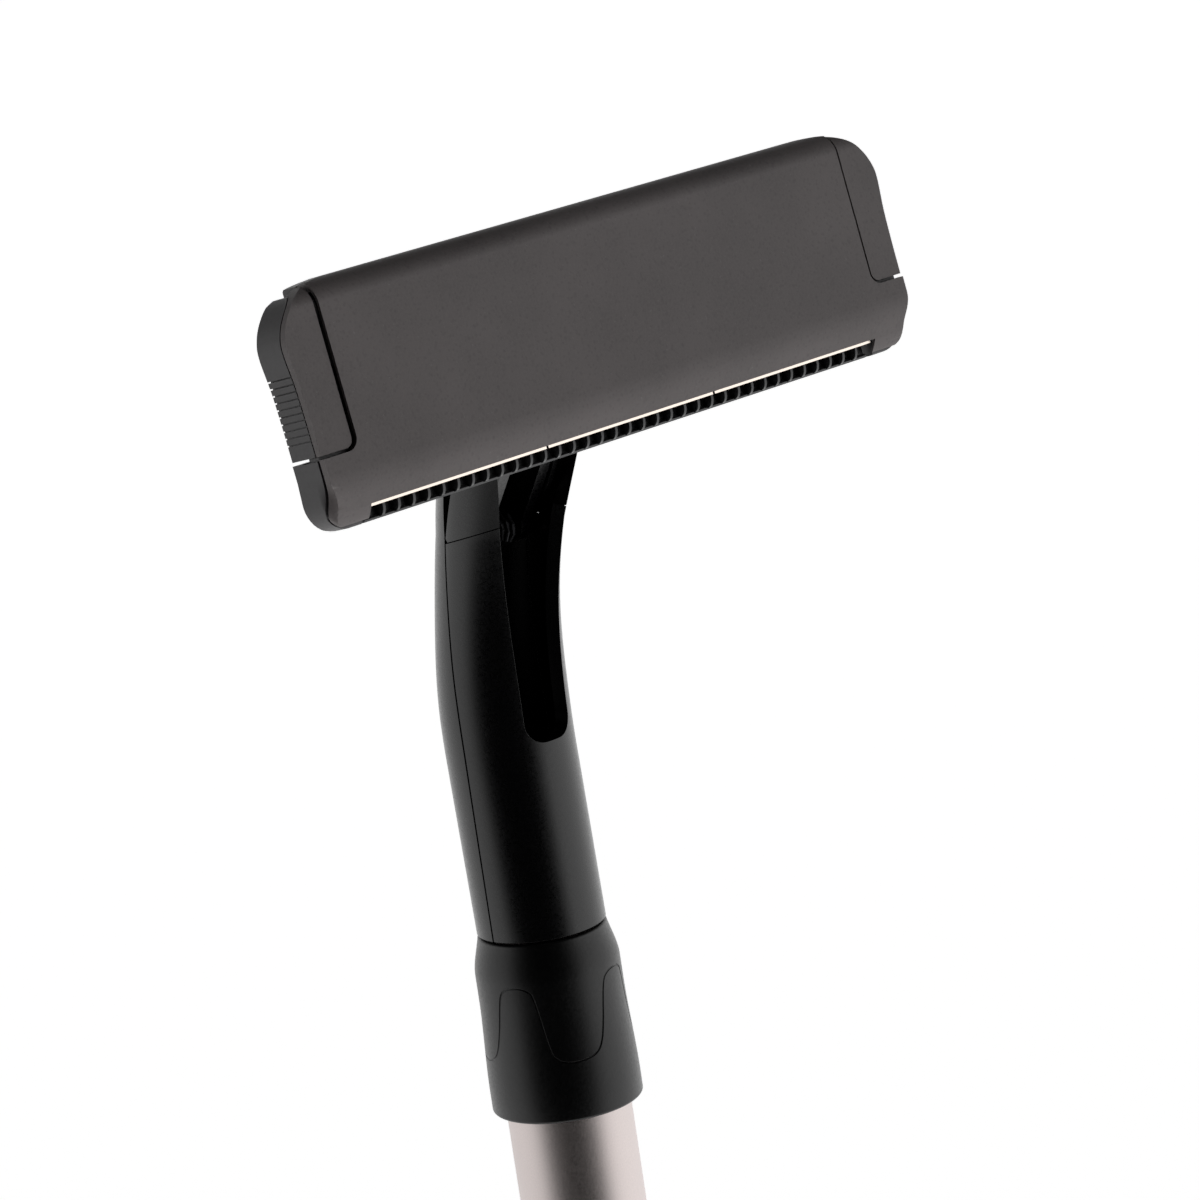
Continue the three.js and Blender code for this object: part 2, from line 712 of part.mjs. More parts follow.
// Comb below the blades: curved ribs between a trough and the blades' support, with posts for the blades.
function combGuard() {
  const supportFront = bladeFront - bladeThickness - seamGap;
  const support = box(-combHalfLength + 0.2, combHalfLength - 0.2, 0.6, 6, -4.2, supportFront);
  const backWall = box(-combHalfLength + 0.2, combHalfLength - 0.2, headFoot + 0.2, 2.2, -5.7, -4.9);
  const rail = headProfilePrism([
    [-5.7, headFoot + 0.5], [-5.4, headFoot], [-4.3, headFoot],
    [-4, headFoot + 0.35], [-4.2, headFoot + 0.6], [-5.7, headFoot + 0.6],
  ], -combHalfLength + 0.2, combHalfLength - 0.2);
  const roof = box(-combHalfLength + 0.2, combHalfLength - 0.2, 1.3, 2.2, -5.7, -4);
  const ribFront = samples(0, Math.PI / 2, 5).map((angle) => [
    -4.3 + 1.2 * Math.sin(angle), -0.55 - (1.75 - 0.1) * Math.cos(angle)]);
  const rib = [[-5.2, 1.6], [-5.2, headFoot + 0.3], ...ribFront, [-3.1, 0.8], [-3.4, 1.6]];
  const posts = samples(-1, 1, 2).flatMap((k) => [-postOffset, postOffset].map((offset) => (
    cylinder(1, 1.6, 16).translate([k * bladePitch + offset, postHeight, -4]))));
  let guard = union(support, backWall, rail, roof, ...posts);
  for (let i = 0; i < ribCount; i += 1) {
    const middle = (i - (ribCount - 1) / 2) * ribPitch;
    guard = guard.add(headProfilePrism(rib, middle - ribThickness / 2, middle + ribThickness / 2));
  }
  return guard;
}

const mountScrews = { x: 5.6, u: 15.5 };

// Rear housing: a plate with a top wall and full-depth lower corners, open where the comb and buttons go.
// A lip on each corner closes the slit below the button from behind.
function headFrame() {
  const plateFront = -4.6;
  const block = headBlock(0, 0);
  const plate = block.intersect(box(-70, 70, 2.6, 40, -headDepth - 1, plateFront));
  const inner = buttonSeam - seamWidth;
  const topWall = block.intersect(box(-inner, inner, 30.2, 40, -headDepth - 1, -topRoll - 0.25));
  const corners = block.intersect(headBlock(-2, rimDepth + 0.45))
    .intersect(bothSides(52, 70, -20, buttonFoot - slitWidth, -headDepth - 1, 0));
  const lips = headBlock(0.4, 0).intersect(bothSides(52, 70, 7, buttonFoot - 0.2, -3.4, -rimDepth - 0.45));
  const stops = bothSides(48.6, 49.9, 20.6, 23.4, -5, -2.7);
  const buttonRoom = headBlock(-3, -3).subtract(
    frontPrism(headOutline(buttonWall + 0.9, -headDepth), -20, 20)).intersect(buttonSpaces);
  const combRoom = box(-combHalfLength - 0.2, combHalfLength + 0.2, -20, 2.6, -20, 20);
  const holes = mirrored((side) => (
    cylinder(1.7, 10, 16).translate([side * mountScrews.x, mountScrews.u, -10])));
  return union(plate, topWall, corners).subtract(buttonRoom).add(lips)
    .subtract(combRoom).add(stops).subtract(holes);
}

// Side button: the wall with its finger grooves, a plate under the cover and the latch's finger.
function sideButton(side) {
  const grooveWidth = 0.24;
  const grooveFloor = 58.45;
  const grooveMiddle = 15;
  const block = headBlock(0, buttonRecess).intersect(box(-70, 70, -20, 40, -headDepth + 0.2, 5));
  const hollow = frontPrism(headOutline(buttonWall, -headDepth), -20, -2.6);
  const finger = box(...sideSpan(side, 50.6, 53.5), 14, 18, -2.6, -1.5);
  let button = block.intersect(buttonSpace(side, 0)).subtract(skinRoom(buttonRecess))
    .subtract(hollow).add(finger);
  for (let i = 0; i < gripGrooves; i += 1) {
    const u = grooveMiddle + (i - (gripGrooves - 1) / 2);
    const groove = box(...sideSpan(side, grooveFloor, 62), u - grooveWidth / 2, u + grooveWidth / 2, -20, 20);
    button = button.subtract(groove);
  }
  return button;
}

function buttonCover(side) {
  return skinShell(buttonRecess).intersect(buttonSpace(side, 0));
}

function buttonSpring(side) {
  const turns = 5;
  const coil = wire(helix(0.62, 5.4, turns), 0.2, turns * 8, 5);
  const placed = coil.translate([50.3, 22, -3.65]);
  return side > 0 ? placed : placed.mirror([1, 0, 0]);
}

// ---------------------------------------------------------------- assembly

const razor = new THREE.Group();
const top = new THREE.Group();
top.position.z = collarFoot;
const head = new THREE.Group();
head.position.set(0, headOrigin.y, headOrigin.z);
head.rotation.x = headTilt;
top.add(head);
razor.add(top);

razor.add(
  piece('outer_pole', outerPole(), anodised),
  piece('grip_sleeve', gripSleeve(), softTouch),
  piece('end_cap', endCap(), softTouch),
);

const neck = neckPieces();
const headToNeck = new THREE.Matrix4().makeRotationX(headTilt).setPosition(0, headOrigin.y, headOrigin.z);
const neckToHead = headToNeck.clone().invert();

function moved(manifold, matrix) {
  return manifold.transform(matrix.elements.slice());
}

// The yoke stops short of the head's back, and takes the mounting screws.
const behindHead = moved(box(-80, 80, -60, 80, -80, -headDepth - seamGap), headToNeck);
const yokeHoles = moved(mirrored((side) => (
  cylinder(1.35, 10, 16).translate([side * mountScrews.x, mountScrews.u, -14.5]))), headToNeck);

top.add(
  piece('lock_ferrule', lockFerrule(), nylon),
  piece('lock_collet', lockCollet(), nylon),
  piece('lock_collar', lockCollar(), softTouch),
  piece('collar_core', collarCore(), nylon),
  piece('inner_pole', innerPole(), anodised),
  piece('inner_pole_bush', innerPoleBush(), nylon),
  piece('neck_front', neck.front.subtract(neck.frontClear), neckPlastic),
  piece('neck_rear', neck.rear, neckPlastic),
  piece('neck_screw_lower', neck.lowerScrew, steel),
  piece('neck_screw_upper', neck.upperScrew, steel),
  piece('pivot_pin', pivotBar(pinRadius, -7, 7), steel),
  piece('flex_spring', flexSpring(), steel),
  piece('head_yoke', headYoke(neck).intersect(behindHead).subtract(yokeHoles), neckPlastic),
);

head.add(
  piece('head_frame', headFrame(), capPlastic),
  piece('face_plate', facePlate(), faceSkin),
  piece('cartridge_body', cartridgeBody(), capPlastic),
  piece('comb_guard', combGuard(), combPlastic),
  piece('blade_left', blade(0), steel),
  piece('blade_middle', blade(1), steel),
  piece('blade_right', blade(2), steel),
);
for (const [name, side] of [['left', -1], ['right', 1]]) {
  const mount = screw(1.2, 8, 2.4, 0.9).translate([side * mountScrews.x, mountScrews.u, -4.3]);
  head.add(
    piece(`button_${name}`, sideButton(side), capPlastic),
    piece(`button_cover_${name}`, buttonCover(side), faceSkin),
    piece(`button_spring_${name}`, buttonSpring(side), steel),
    piece(`mount_screw_${name}`, mount, steel),
  );
}

export default razor;
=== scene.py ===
"""A wide cartridge razor on a telescoping pole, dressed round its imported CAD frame."""

import json
import math

import bmesh
import bpy
import numpy as np
from mathutils import Matrix, Vector


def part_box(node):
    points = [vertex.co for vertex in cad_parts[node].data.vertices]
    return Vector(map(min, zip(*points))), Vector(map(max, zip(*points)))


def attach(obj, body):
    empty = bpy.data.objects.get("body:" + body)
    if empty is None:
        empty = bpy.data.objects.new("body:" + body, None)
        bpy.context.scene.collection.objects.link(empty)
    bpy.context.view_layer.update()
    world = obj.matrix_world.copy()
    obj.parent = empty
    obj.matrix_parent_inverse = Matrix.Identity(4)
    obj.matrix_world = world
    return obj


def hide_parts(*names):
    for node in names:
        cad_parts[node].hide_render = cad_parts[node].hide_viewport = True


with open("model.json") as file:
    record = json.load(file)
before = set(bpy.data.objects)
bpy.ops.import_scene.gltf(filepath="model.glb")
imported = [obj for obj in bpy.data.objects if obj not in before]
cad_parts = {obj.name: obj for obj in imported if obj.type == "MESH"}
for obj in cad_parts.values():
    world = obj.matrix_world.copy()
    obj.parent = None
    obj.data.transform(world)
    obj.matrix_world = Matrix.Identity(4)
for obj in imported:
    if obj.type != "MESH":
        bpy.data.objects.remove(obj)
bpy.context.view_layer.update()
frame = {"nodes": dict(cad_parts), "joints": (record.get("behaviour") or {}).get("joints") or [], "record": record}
MM = 0.001

# ---------------------------------------------------------------- places, from the frame

JOINTS = {joint["name"]: joint for joint in frame["joints"]}
COLLAR_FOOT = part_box("lock_collar")[0].z / MM
FACE_NORMAL = Vector(JOINTS["cartridge_release"]["axis"]).normalized()
FACE_UP = FACE_NORMAL.cross(Vector((1, 0, 0)))


def reach(node, heading):
    """Lowest and highest distance of a CAD node along a heading, in millimetres."""
    along = [vertex.co.dot(heading) / MM for vertex in frame["nodes"][node].data.vertices]
    return min(along), max(along)


HEAD_FOOT = -2.4
HEAD_ORIGIN = (FACE_UP * (reach("head_frame", FACE_UP)[0] - HEAD_FOOT)
               + FACE_NORMAL * reach("face_plate", FACE_NORMAL)[1])
TO_ROW_FROM_HEAD = Matrix.Scale(MM, 4) @ Matrix.Translation(HEAD_ORIGIN) @ Matrix((
    (1, 0, 0, 0),
    (0, FACE_UP.y, FACE_NORMAL.y, 0),
    (0, FACE_UP.z, FACE_NORMAL.z, 0),
    (0, 0, 0, 1)))
TO_ROW_FROM_NECK = Matrix.Scale(MM, 4) @ Matrix.Translation((0, 0, COLLAR_FOOT))

# ---------------------------------------------------------------- camera, light and floor

CAMERA_AIM = Vector((22.38, 0.74, COLLAR_FOOT + 72.39)) * MM
CAMERA_DISTANCE = 793.6 * MM
CAMERA_AZIMUTH = math.radians(-43.087)
CAMERA_ELEVATION = math.radians(12.332)
CAMERA_ROLL = math.radians(-8.4225)
CAMERA_LENS = 157.21


def direction(azimuth, elevation):
    """Unit vector from the razor towards a place; azimuth 0 is in front of the face, and 90 at its right."""
    level = math.cos(elevation)
    return Vector((math.sin(azimuth) * level, -math.cos(azimuth) * level, math.sin(elevation)))


def make_camera():
    back = direction(CAMERA_AZIMUTH, CAMERA_ELEVATION)
    level = Vector((math.cos(CAMERA_AZIMUTH), math.sin(CAMERA_AZIMUTH), 0))
    rise = back.cross(level)
    right = level * math.cos(CAMERA_ROLL) + rise * math.sin(CAMERA_ROLL)
    up = back.cross(right)
    data = bpy.data.cameras.new("camera")
    data.lens = CAMERA_LENS
    data.sensor_width = 36
    data.clip_start = 0.05
    data.clip_end = 50
    camera = bpy.data.objects.new("camera", data)
    bpy.context.scene.collection.objects.link(camera)
    place = CAMERA_AIM + back * CAMERA_DISTANCE
    camera.matrix_world = Matrix((
        (right.x, up.x, back.x, place.x),
        (right.y, up.y, back.y, place.y),
        (right.z, up.z, back.z, place.z),
        (0, 0, 0, 1)))
    bpy.context.scene.camera = camera


def make_floor():
    """A wide pale floor, which also gives off a little light so that it stays white."""
    half_width = 12.0
    mesh = bpy.data.meshes.new("floor")
    corners = [(x * half_width, y * half_width, 0) for x, y in ((-1, -1), (1, -1), (1, 1), (-1, 1))]
    mesh.from_pydata(corners, [], [(0, 1, 2, 3)])
    floor = bpy.data.objects.new("floor", mesh)
    bpy.context.scene.collection.objects.link(floor)
    floor.visible_diffuse = False
    floor.visible_glossy = False
    material, _, _, shader = plain_material("floor_white")
    shader.inputs["Base Color"].default_value = (0.85, 0.85, 0.85, 1)
    shader.inputs["Roughness"].default_value = 0.9
    shader.inputs["Emission Color"].default_value = (1, 1, 1, 1)
    shader.inputs["Emission Strength"].default_value = 0.86
    floor.data.materials.append(material)


# The studio: bright walls, a dim ceiling, and a dark corner behind the camera.
DARK_TURN = -0.05
DARK_LEVEL = 0.012
WALL_LEVEL = 1.12
DARK_FROM, DARK_TO = math.cos(math.radians(71)), math.cos(math.radians(40))
CEILING_FROM, CEILING_TO = math.sin(math.radians(9)), math.sin(math.radians(38))
CEILING_LEVEL = 0.02
LEFT_LEVEL, RIGHT_LEVEL = 0.97, 1.2


def make_light():
    world = bpy.data.worlds.new("studio")
    world.use_nodes = True
    nodes, links = world.node_tree.nodes, world.node_tree.links
    background = nodes["Background"]
    background.inputs["Color"].default_value = (1, 1, 1, 1)
    ray = nodes.new("ShaderNodeTexCoord").outputs["Generated"]

    def dot(vector):
        made = node(nodes, "ShaderNodeVectorMath", operation="DOT_PRODUCT")
        links.new(ray, made.inputs[0])
        made.inputs[1].default_value = vector
        return made.outputs["Value"]

    def ranged(value, start, end, low, high):
        made = node(nodes, "ShaderNodeMapRange", interpolation_type="SMOOTHSTEP")
        for name, number in (("From Min", start), ("From Max", end), ("To Min", low), ("To Max", high)):
            made.inputs[name].default_value = number
        links.new(value, made.inputs["Value"])
        return made.outputs["Result"]

    def product(first, second):
        made = node(nodes, "ShaderNodeMath", operation="MULTIPLY")
        links.new(first, made.inputs[0])
        links.new(second, made.inputs[1])
        return made.outputs["Value"]

    away = ranged(dot(direction(CAMERA_AZIMUTH + DARK_TURN, 0)), DARK_FROM, DARK_TO, WALL_LEVEL, DARK_LEVEL)
    ceiling = ranged(dot((0, 0, 1)), CEILING_FROM, CEILING_TO, 1, CEILING_LEVEL)
    sideways = ranged(dot(direction(CAMERA_AZIMUTH + math.pi / 2, 0)), -1, 1, LEFT_LEVEL, RIGHT_LEVEL)
    links.new(product(product(away, ceiling), sideways), background.inputs["Strength"])
    seen = nodes.new("ShaderNodeBackground")
    seen.inputs["Color"].default_value = (1, 1, 1, 1)
    mix = nodes.new("ShaderNodeMixShader")
    links.new(nodes.new("ShaderNodeLightPath").outputs["Is Camera Ray"], mix.inputs["Fac"])
    links.new(background.outputs["Background"], mix.inputs[1])
    links.new(seen.outputs["Background"], mix.inputs[2])
    links.new(mix.outputs["Shader"], nodes["World Output"].inputs["Surface"])
    bpy.context.scene.world = world
    bpy.context.scene.view_settings.view_transform = "Standard"


# ---------------------------------------------------------------- materials

def plain_material(name):
    material = bpy.data.materials.new(name)
    material.use_nodes = True
    tree = material.node_tree
    return material, tree.nodes, tree.links, tree.nodes["Principled BSDF"]


def node(nodes, kind, **values):
    made = nodes.new(kind)
    for key, value in values.items():
        if hasattr(made, key):
            setattr(made, key, value)
        else:
            made.inputs[key].default_value = value
    return made


class Builder:
    """Short calls for the nodes that the materials share."""

    def __init__(self, name):
        self.material, self.nodes, self.links, self.shader = plain_material(name)
        self.place = self.nodes.new("ShaderNodeTexCoord").outputs["Object"]

    def stretched(self, scale):
        mapping = self.nodes.new("ShaderNodeMapping")
        mapping.inputs["Scale"].default_value = scale
        self.links.new(self.place, mapping.inputs["Vector"])
        return mapping.outputs["Vector"]

    def noise(self, scale, detail=3.0, roughness=0.6, place=None):
        made = self.nodes.new("ShaderNodeTexNoise")
        made.inputs["Scale"].default_value = scale
        made.inputs["Detail"].default_value = detail
        made.inputs["Roughness"].default_value = roughness
        self.links.new(place or self.place, made.inputs["Vector"])
        return made.outputs["Fac"]

    def pits(self, scale):
        made = node(self.nodes, "ShaderNodeTexVoronoi", feature="SMOOTH_F1")
        made.inputs["Scale"].default_value = scale
        self.links.new(self.place, made.inputs["Vector"])
        return made.outputs["Distance"]

    def ranged(self, value, start, end, low, high):
        made = self.nodes.new("ShaderNodeMapRange")
        for name, number in (("From Min", start), ("From Max", end), ("To Min", low), ("To Max", high)):
            made.inputs[name].default_value = number
        self.links.new(value, made.inputs["Value"])
        return made.outputs["Result"]

    def mixed(self, factor, first, second, blend="MIX"):
        made = node(self.nodes, "ShaderNodeMix", data_type="RGBA", blend_type=blend)
        self.links.new(factor, made.inputs["Factor"])
        for socket, value in ((made.inputs[6], first), (made.inputs[7], second)):
            if isinstance(value, tuple):
                socket.default_value = (*value, 1)
            else:
                self.links.new(value, socket)
        return made.outputs[2]

    def edges(self, radius):
        """Where the surface turns within a radius: 0 on flat stretches, towards 1 on edges."""
        bevel = self.nodes.new("ShaderNodeBevel")
        bevel.samples = 4
        bevel.inputs["Radius"].default_value = radius * MM
        flat = self.nodes.new("ShaderNodeNewGeometry").outputs["Normal"]
        dot = node(self.nodes, "ShaderNodeVectorMath", operation="DOT_PRODUCT")
        self.links.new(bevel.outputs["Normal"], dot.inputs[0])
        self.links.new(flat, dot.inputs[1])
        return self.ranged(dot.outputs["Value"], 0.995, 0.85, 0, 1)

    def bumped(self, height, depth, strength=1.0, before=None):
        bump = self.nodes.new("ShaderNodeBump")
        bump.inputs["Strength"].default_value = strength
        bump.inputs["Distance"].default_value = depth * MM
        self.links.new(height, bump.inputs["Height"])
        if before:
            self.links.new(before, bump.inputs["Normal"])
        return bump.outputs["Normal"]

    def finish(self, color, roughness, normal):
        self.links.new(color, self.shader.inputs["Base Color"])
        self.links.new(roughness, self.shader.inputs["Roughness"])
        self.links.new(normal, self.shader.inputs["Normal"])
        return self.material


def shade(color, factor):
    return tuple(min(1.0, channel * factor) for channel in color)


def moulded(name, color, roughness, grain, grain_depth, mottle=0.1, specular=0.5, edge_sheen_and_wear=1.5, specks=0.0):
    """Moulded plastic: mottled colour, spark-eroded grain, flow marks, edges lightened in patches (painted sheen
    broken up by scuff wear) and stray specks.
    """
    make = Builder(name)
    cloud = make.noise(55, 4)
    fine = make.noise(grain, 3, 0.7)
    pits = make.pits(grain * 0.55)
    flow = make.noise(160, 3, 0.6, make.stretched((1, 1, 0.12)))
    clouded = make.ranged(cloud, 0.3, 0.7, 0, 1)
    base = make.mixed(clouded, shade(color, 1 - mottle), shade(color, 1 + mottle))
    base = make.mixed(make.ranged(fine, 0.35, 0.7, 0, 0.55), base, shade(color, 1 + 2.2 * mottle))
    base = make.mixed(make.ranged(pits, 0.0, 0.35, 0.4, 0), base, shade(color, 1 - 3 * mottle))
    # Edges lightened in patches: painted sheen along the edges, broken up by scuff noise that stands for real
    # wear.
    edge = make.edges(0.22)
    scuffed = make.noise(700, 3, 0.7)
    edge_sheen_and_wear_mask = node(make.nodes, "ShaderNodeMath", operation="MULTIPLY")
    make.links.new(edge, edge_sheen_and_wear_mask.inputs[0])
    make.links.new(make.ranged(scuffed, 0.4, 0.65, 0.15, 0.8), edge_sheen_and_wear_mask.inputs[1])
    base = make.mixed(edge_sheen_and_wear_mask.outputs["Value"], base, shade(color, edge_sheen_and_wear))
    if specks:
        dust = make.noise(2200, 2, 0.5)
        base = make.mixed(make.ranged(dust, 0.70, 0.74, 0, specks), base, (0.5, 0.5, 0.5))
    gloss = make.ranged(fine, 0.3, 0.7, roughness - 0.07, roughness + 0.07)
    normal = make.bumped(flow, grain_depth * 1.2, 0.25)
    normal = make.bumped(fine, grain_depth, 0.8, normal)
    normal = make.bumped(pits, grain_depth, 0.5, normal)
    make.shader.inputs["Specular IOR Level"].default_value = specular
    return make.finish(base, gloss, normal)


def metal(name, color, roughness, grain, grain_depth, stretch=(1, 1, 1)):
    """Bare or anodised metal: fine grain, drawn out where it is brushed, with light scratches."""
    make = Builder(name)
    cloud = make.noise(70, 4)
    fine = make.noise(grain, 4, 0.65, make.stretched(stretch))
    scratch = make.noise(500, 2, 0.5, make.stretched((1, 1, 0.03)))
    base = make.mixed(make.ranged(fine, 0.3, 0.7, 0, 1), shade(color, 0.9), shade(color, 1.08))
    base = make.mixed(make.ranged(cloud, 0.35, 0.7, 0, 0.35), base, shade(color, 0.93))
    gloss = make.ranged(fine, 0.3, 0.7, roughness - 0.06, roughness + 0.06)
    normal = make.bumped(scratch, grain_depth, 0.2)
    normal = make.bumped(fine, grain_depth, 0.6, normal)
    make.shader.inputs["Metallic"].default_value = 1.0
    return make.finish(base, gloss, normal)


MATERIALS = {
    "pole": metal("anodised_pole", (0.64, 0.575, 0.56), 0.45, 3400, 0.016),
    "soft_touch": moulded(
        "soft_touch_rubber", (0.0012, 0.0012, 0.0015), 0.38, 2600, 0.012, 0.14, 0.45, 3.0),
    "neck_plastic": moulded(
        "neck_black_plastic", (0.0013, 0.0012, 0.0019), 0.3, 2200, 0.006, 0.12, 0.5, 5.0),
    "cap_plastic": moulded("cap_grey_plastic", (0.062, 0.059, 0.061), 0.46, 2600, 0.008, 0.07, 0.4, 1.35),
    "face_skin": moulded(
        "face_grained_skin", (0.131, 0.116, 0.115), 0.55, 2600, 0.018, 0.16, 0.4, 1.25, 0.10),
    "comb_plastic": moulded("comb_black_plastic", (0.03, 0.03, 0.032), 0.34, 2500, 0.004, 0.1, 0.5, 1.8),
    "blade_steel": metal("blade_ground_steel", (0.95, 0.83, 0.74), 0.3, 3600, 0.003, (12, 1, 1)),
    # Steel painted near black: painted shade for the pin, spring and screws that sit in shadow inside the neck and
    # head.
    "steel": metal("steel_painted_dark_as_shade", (0.03, 0.03, 0.032), 0.45, 3000, 0.004),
    "nylon": moulded("grey_nylon", (0.25, 0.25, 0.25), 0.45, 2000, 0.008, 0.08, 0.5, 1.1),
}


# ---------------------------------------------------------------- solids, in millimetres

def cosine_steps(count):
    """Steps from 0 to 1 of a quarter turn, as (1 - cosine, sine)."""
    turns = [math.pi / 2 * i / count for i in range(count + 1)]
    return [(1 - math.cos(a), math.sin(a)) for a in turns]


def samples(start, end, count):
    return [start + (end - start) * i / count for i in range(count + 1)]


def eased(value, start, end):
    t = min(max((value - start) / (end - start), 0), 1)
    return t * t * (3 - 2 * t)


def spline_point(before, start, end, after, t):
    """Point at t from 0 to 1 between start and end, on a smooth line that runs through all four points."""
    return (start * (2 - 5 * t * t + 3 * t ** 3) / 2 + before * (2 * t * t - t - t ** 3) / 2
            + end * (t + 4 * t * t - 3 * t ** 3) / 2 + after * (t ** 3 - t * t) / 2)


def solid(vertices, faces):
    """A loose object from vertices and faces, with its faces turned outwards."""
    mesh = bpy.data.meshes.new("solid")
    mesh.from_pydata([tuple(v) for v in vertices], [], faces)
    shape = bmesh.new()
    shape.from_mesh(mesh)
    bmesh.ops.remove_doubles(shape, verts=shape.verts, dist=1e-5)
    bmesh.ops.recalc_face_normals(shape, faces=shape.faces)
    shape.to_mesh(mesh)
    shape.free()
    obj = bpy.data.objects.new("solid", mesh)
    bpy.context.scene.collection.objects.link(obj)
    return obj


def discard(*objects):
    for obj in objects:
        mesh = obj.data
        bpy.data.objects.remove(obj)
        bpy.data.meshes.remove(mesh)


def baked(obj):
    """Applies an object's modifiers to its mesh."""
    bpy.context.view_layer.update()
    graph = bpy.context.evaluated_depsgraph_get()
    mesh = bpy.data.meshes.new_from_object(obj.evaluated_get(graph))
    old = obj.data
    obj.modifiers.clear()
    obj.data = mesh
    bpy.data.meshes.remove(old)
    return obj


def combined(first, operation, *others):
    for other in others:
        modifier = first.modifiers.new("boolean", "BOOLEAN")
        modifier.operation = operation
        modifier.solver = "MANIFOLD"
        modifier.object = other
    baked(first)
    discard(*others)
    return first


def cut(first, *others):
    return combined(first, "DIFFERENCE", *others)


def joined(first, *others):
    return combined(first, "UNION", *others)


def common(first, *others):
    return combined(first, "INTERSECT", *others)


def both_sides(make):
    return [make(1), make(-1)]


def prism(points, start, end, place):
    """Prism of an outline; place turns (a, b, height) into a point."""
    count = len(points)
    vertices = [place(a, b, height) for height in (start, end) for a, b in points]
    sides = [(i, (i + 1) % count, count + (i + 1) % count, count + i) for i in range(count)]
    return solid(vertices, [tuple(range(count))[::-1], tuple(range(count, 2 * count)), *sides])


def front_prism(points, start, end):
    """Prism of an (x, u) outline between two depths of the head, or of (x, y) between two heights."""
    return prism(points, start, end, lambda a, b, height: (a, b, height))


def side_prism(points, start, end):
    """Prism along X of an outline of (y, z) points, or of (u, n) points in the head's frame."""
    return prism(points, start, end, lambda a, b, height: (height, a, b))


def section_prism(points, start, end):
    """Prism along X of an outline of (n, u) points in the head's frame."""
    return side_prism([(u, n) for n, u in points], start, end)


def block(x, y, z):
    return front_prism([(x[0], y[0]), (x[1], y[0]), (x[1], y[1]), (x[0], y[1])], *z)


def side_range(side, start, end):
    return sorted((side * start, side * end))


def lofted(rings):
    """Solid through closed rings of points, with flat ends."""
    count = len(rings[0])
    faces = [tuple(range(count))[::-1], tuple(range((len(rings) - 1) * count, len(rings) * count))]
    for ring in range(len(rings) - 1):
        for i in range(count):
            a, b = ring * count + i, ring * count + (i + 1) % count
            faces.append((a, b, b + count, a + count))
    return solid([point for ring in rings for point in ring], faces)


def turned(profile, segments=128, centre=lambda z: 0.0):
    """Ring or solid of revolution about Z from (radius, height) points, moved along Y by centre(height)."""
    turns = samples(0, 2 * math.pi, segments)[:-1]
    count = len(profile)
    vertices = [(r * math.sin(a), centre(z) - r * math.cos(a), z) for a in turns for r, z in profile]
    faces = []
    for turn in range(segments):
        near, far = turn * count, (turn + 1) % segments * count
        for i in range(count):
            j = (i + 1) % count
            if profile[i][0] > 0 or profile[j][0] > 0:
                faces.append((near + i, near + j, far + j, far + i))
    return solid(vertices, faces)


def cylinder(radius, length, segments=48):
    return turned([(0, 0), (radius, 0), (radius, length), (0, length)], segments)


def rounded(corners):
    """Profile whose corners, given as (radius, height, rounding), are turned into arcs."""
    profile = []
    count = len(corners)
    for i, (r, z, rounding) in enumerate(corners):
        here = Vector((r, z))
        if rounding == 0:
            profile.append(tuple(here))
            continue
        before = (Vector(corners[i - 1][:2]) - here).normalized()
        after = (Vector(corners[(i + 1) % count][:2]) - here).normalized()
        for step in range(7):
            t = step / 6
            blend = before * (1 - t) ** 2 + after * t ** 2
            profile.append(tuple(here + blend * rounding))
    return profile


def moved(obj, matrix):
    obj.data.transform(matrix)
    return obj


def along_y(obj, height, start=0):
    """Turns a solid standing on Z so that it points towards +Y, at a height on the pole's axis."""
    return moved(obj, Matrix.Translation((0, start, height)) @ Matrix.Rotation(-math.pi / 2, 4, "X"))


def patch(columns, rows, place):
    """Open grid of quads; place gives the point at (column, row), both from 0 to 1."""
    vertices = [place(c, r) for r in rows for c in columns]
    width = len(columns)
    faces = [
        (r * width + c, r * width + c + 1, (r + 1) * width + c + 1, (r + 1) * width + c)
        for r in range(len(rows) - 1) for c in range(width - 1)]
    return vertices, faces


def sheet_of(patches, thickness):
    """Joins patches edge to edge and thickens them inwards."""
    vertices, faces = [], []
    for points, quads in patches:
        faces += [tuple(len(vertices) + i for i in quad) for quad in quads]
        vertices += points
    mesh = bpy.data.meshes.new("shell")
    mesh.from_pydata(vertices, [], faces)
    shape = bmesh.new()
    shape.from_mesh(mesh)
    bmesh.ops.remove_doubles(shape, verts=shape.verts, dist=1e-3)
    shape.to_mesh(mesh)
    shape.free()
    obj = bpy.data.objects.new("shell", mesh)
    bpy.context.scene.collection.objects.link(obj)
    modifier = obj.modifiers.new("wall", "SOLIDIFY")
    modifier.thickness = thickness
    modifier.offset = -1
    modifier.use_even_offset = True
    return baked(obj)


def smooth_by_angle(mesh, degrees):
    mesh.polygons.foreach_set("use_smooth", [True] * len(mesh.polygons))
    mesh.set_sharp_from_angle(angle=math.radians(degrees))


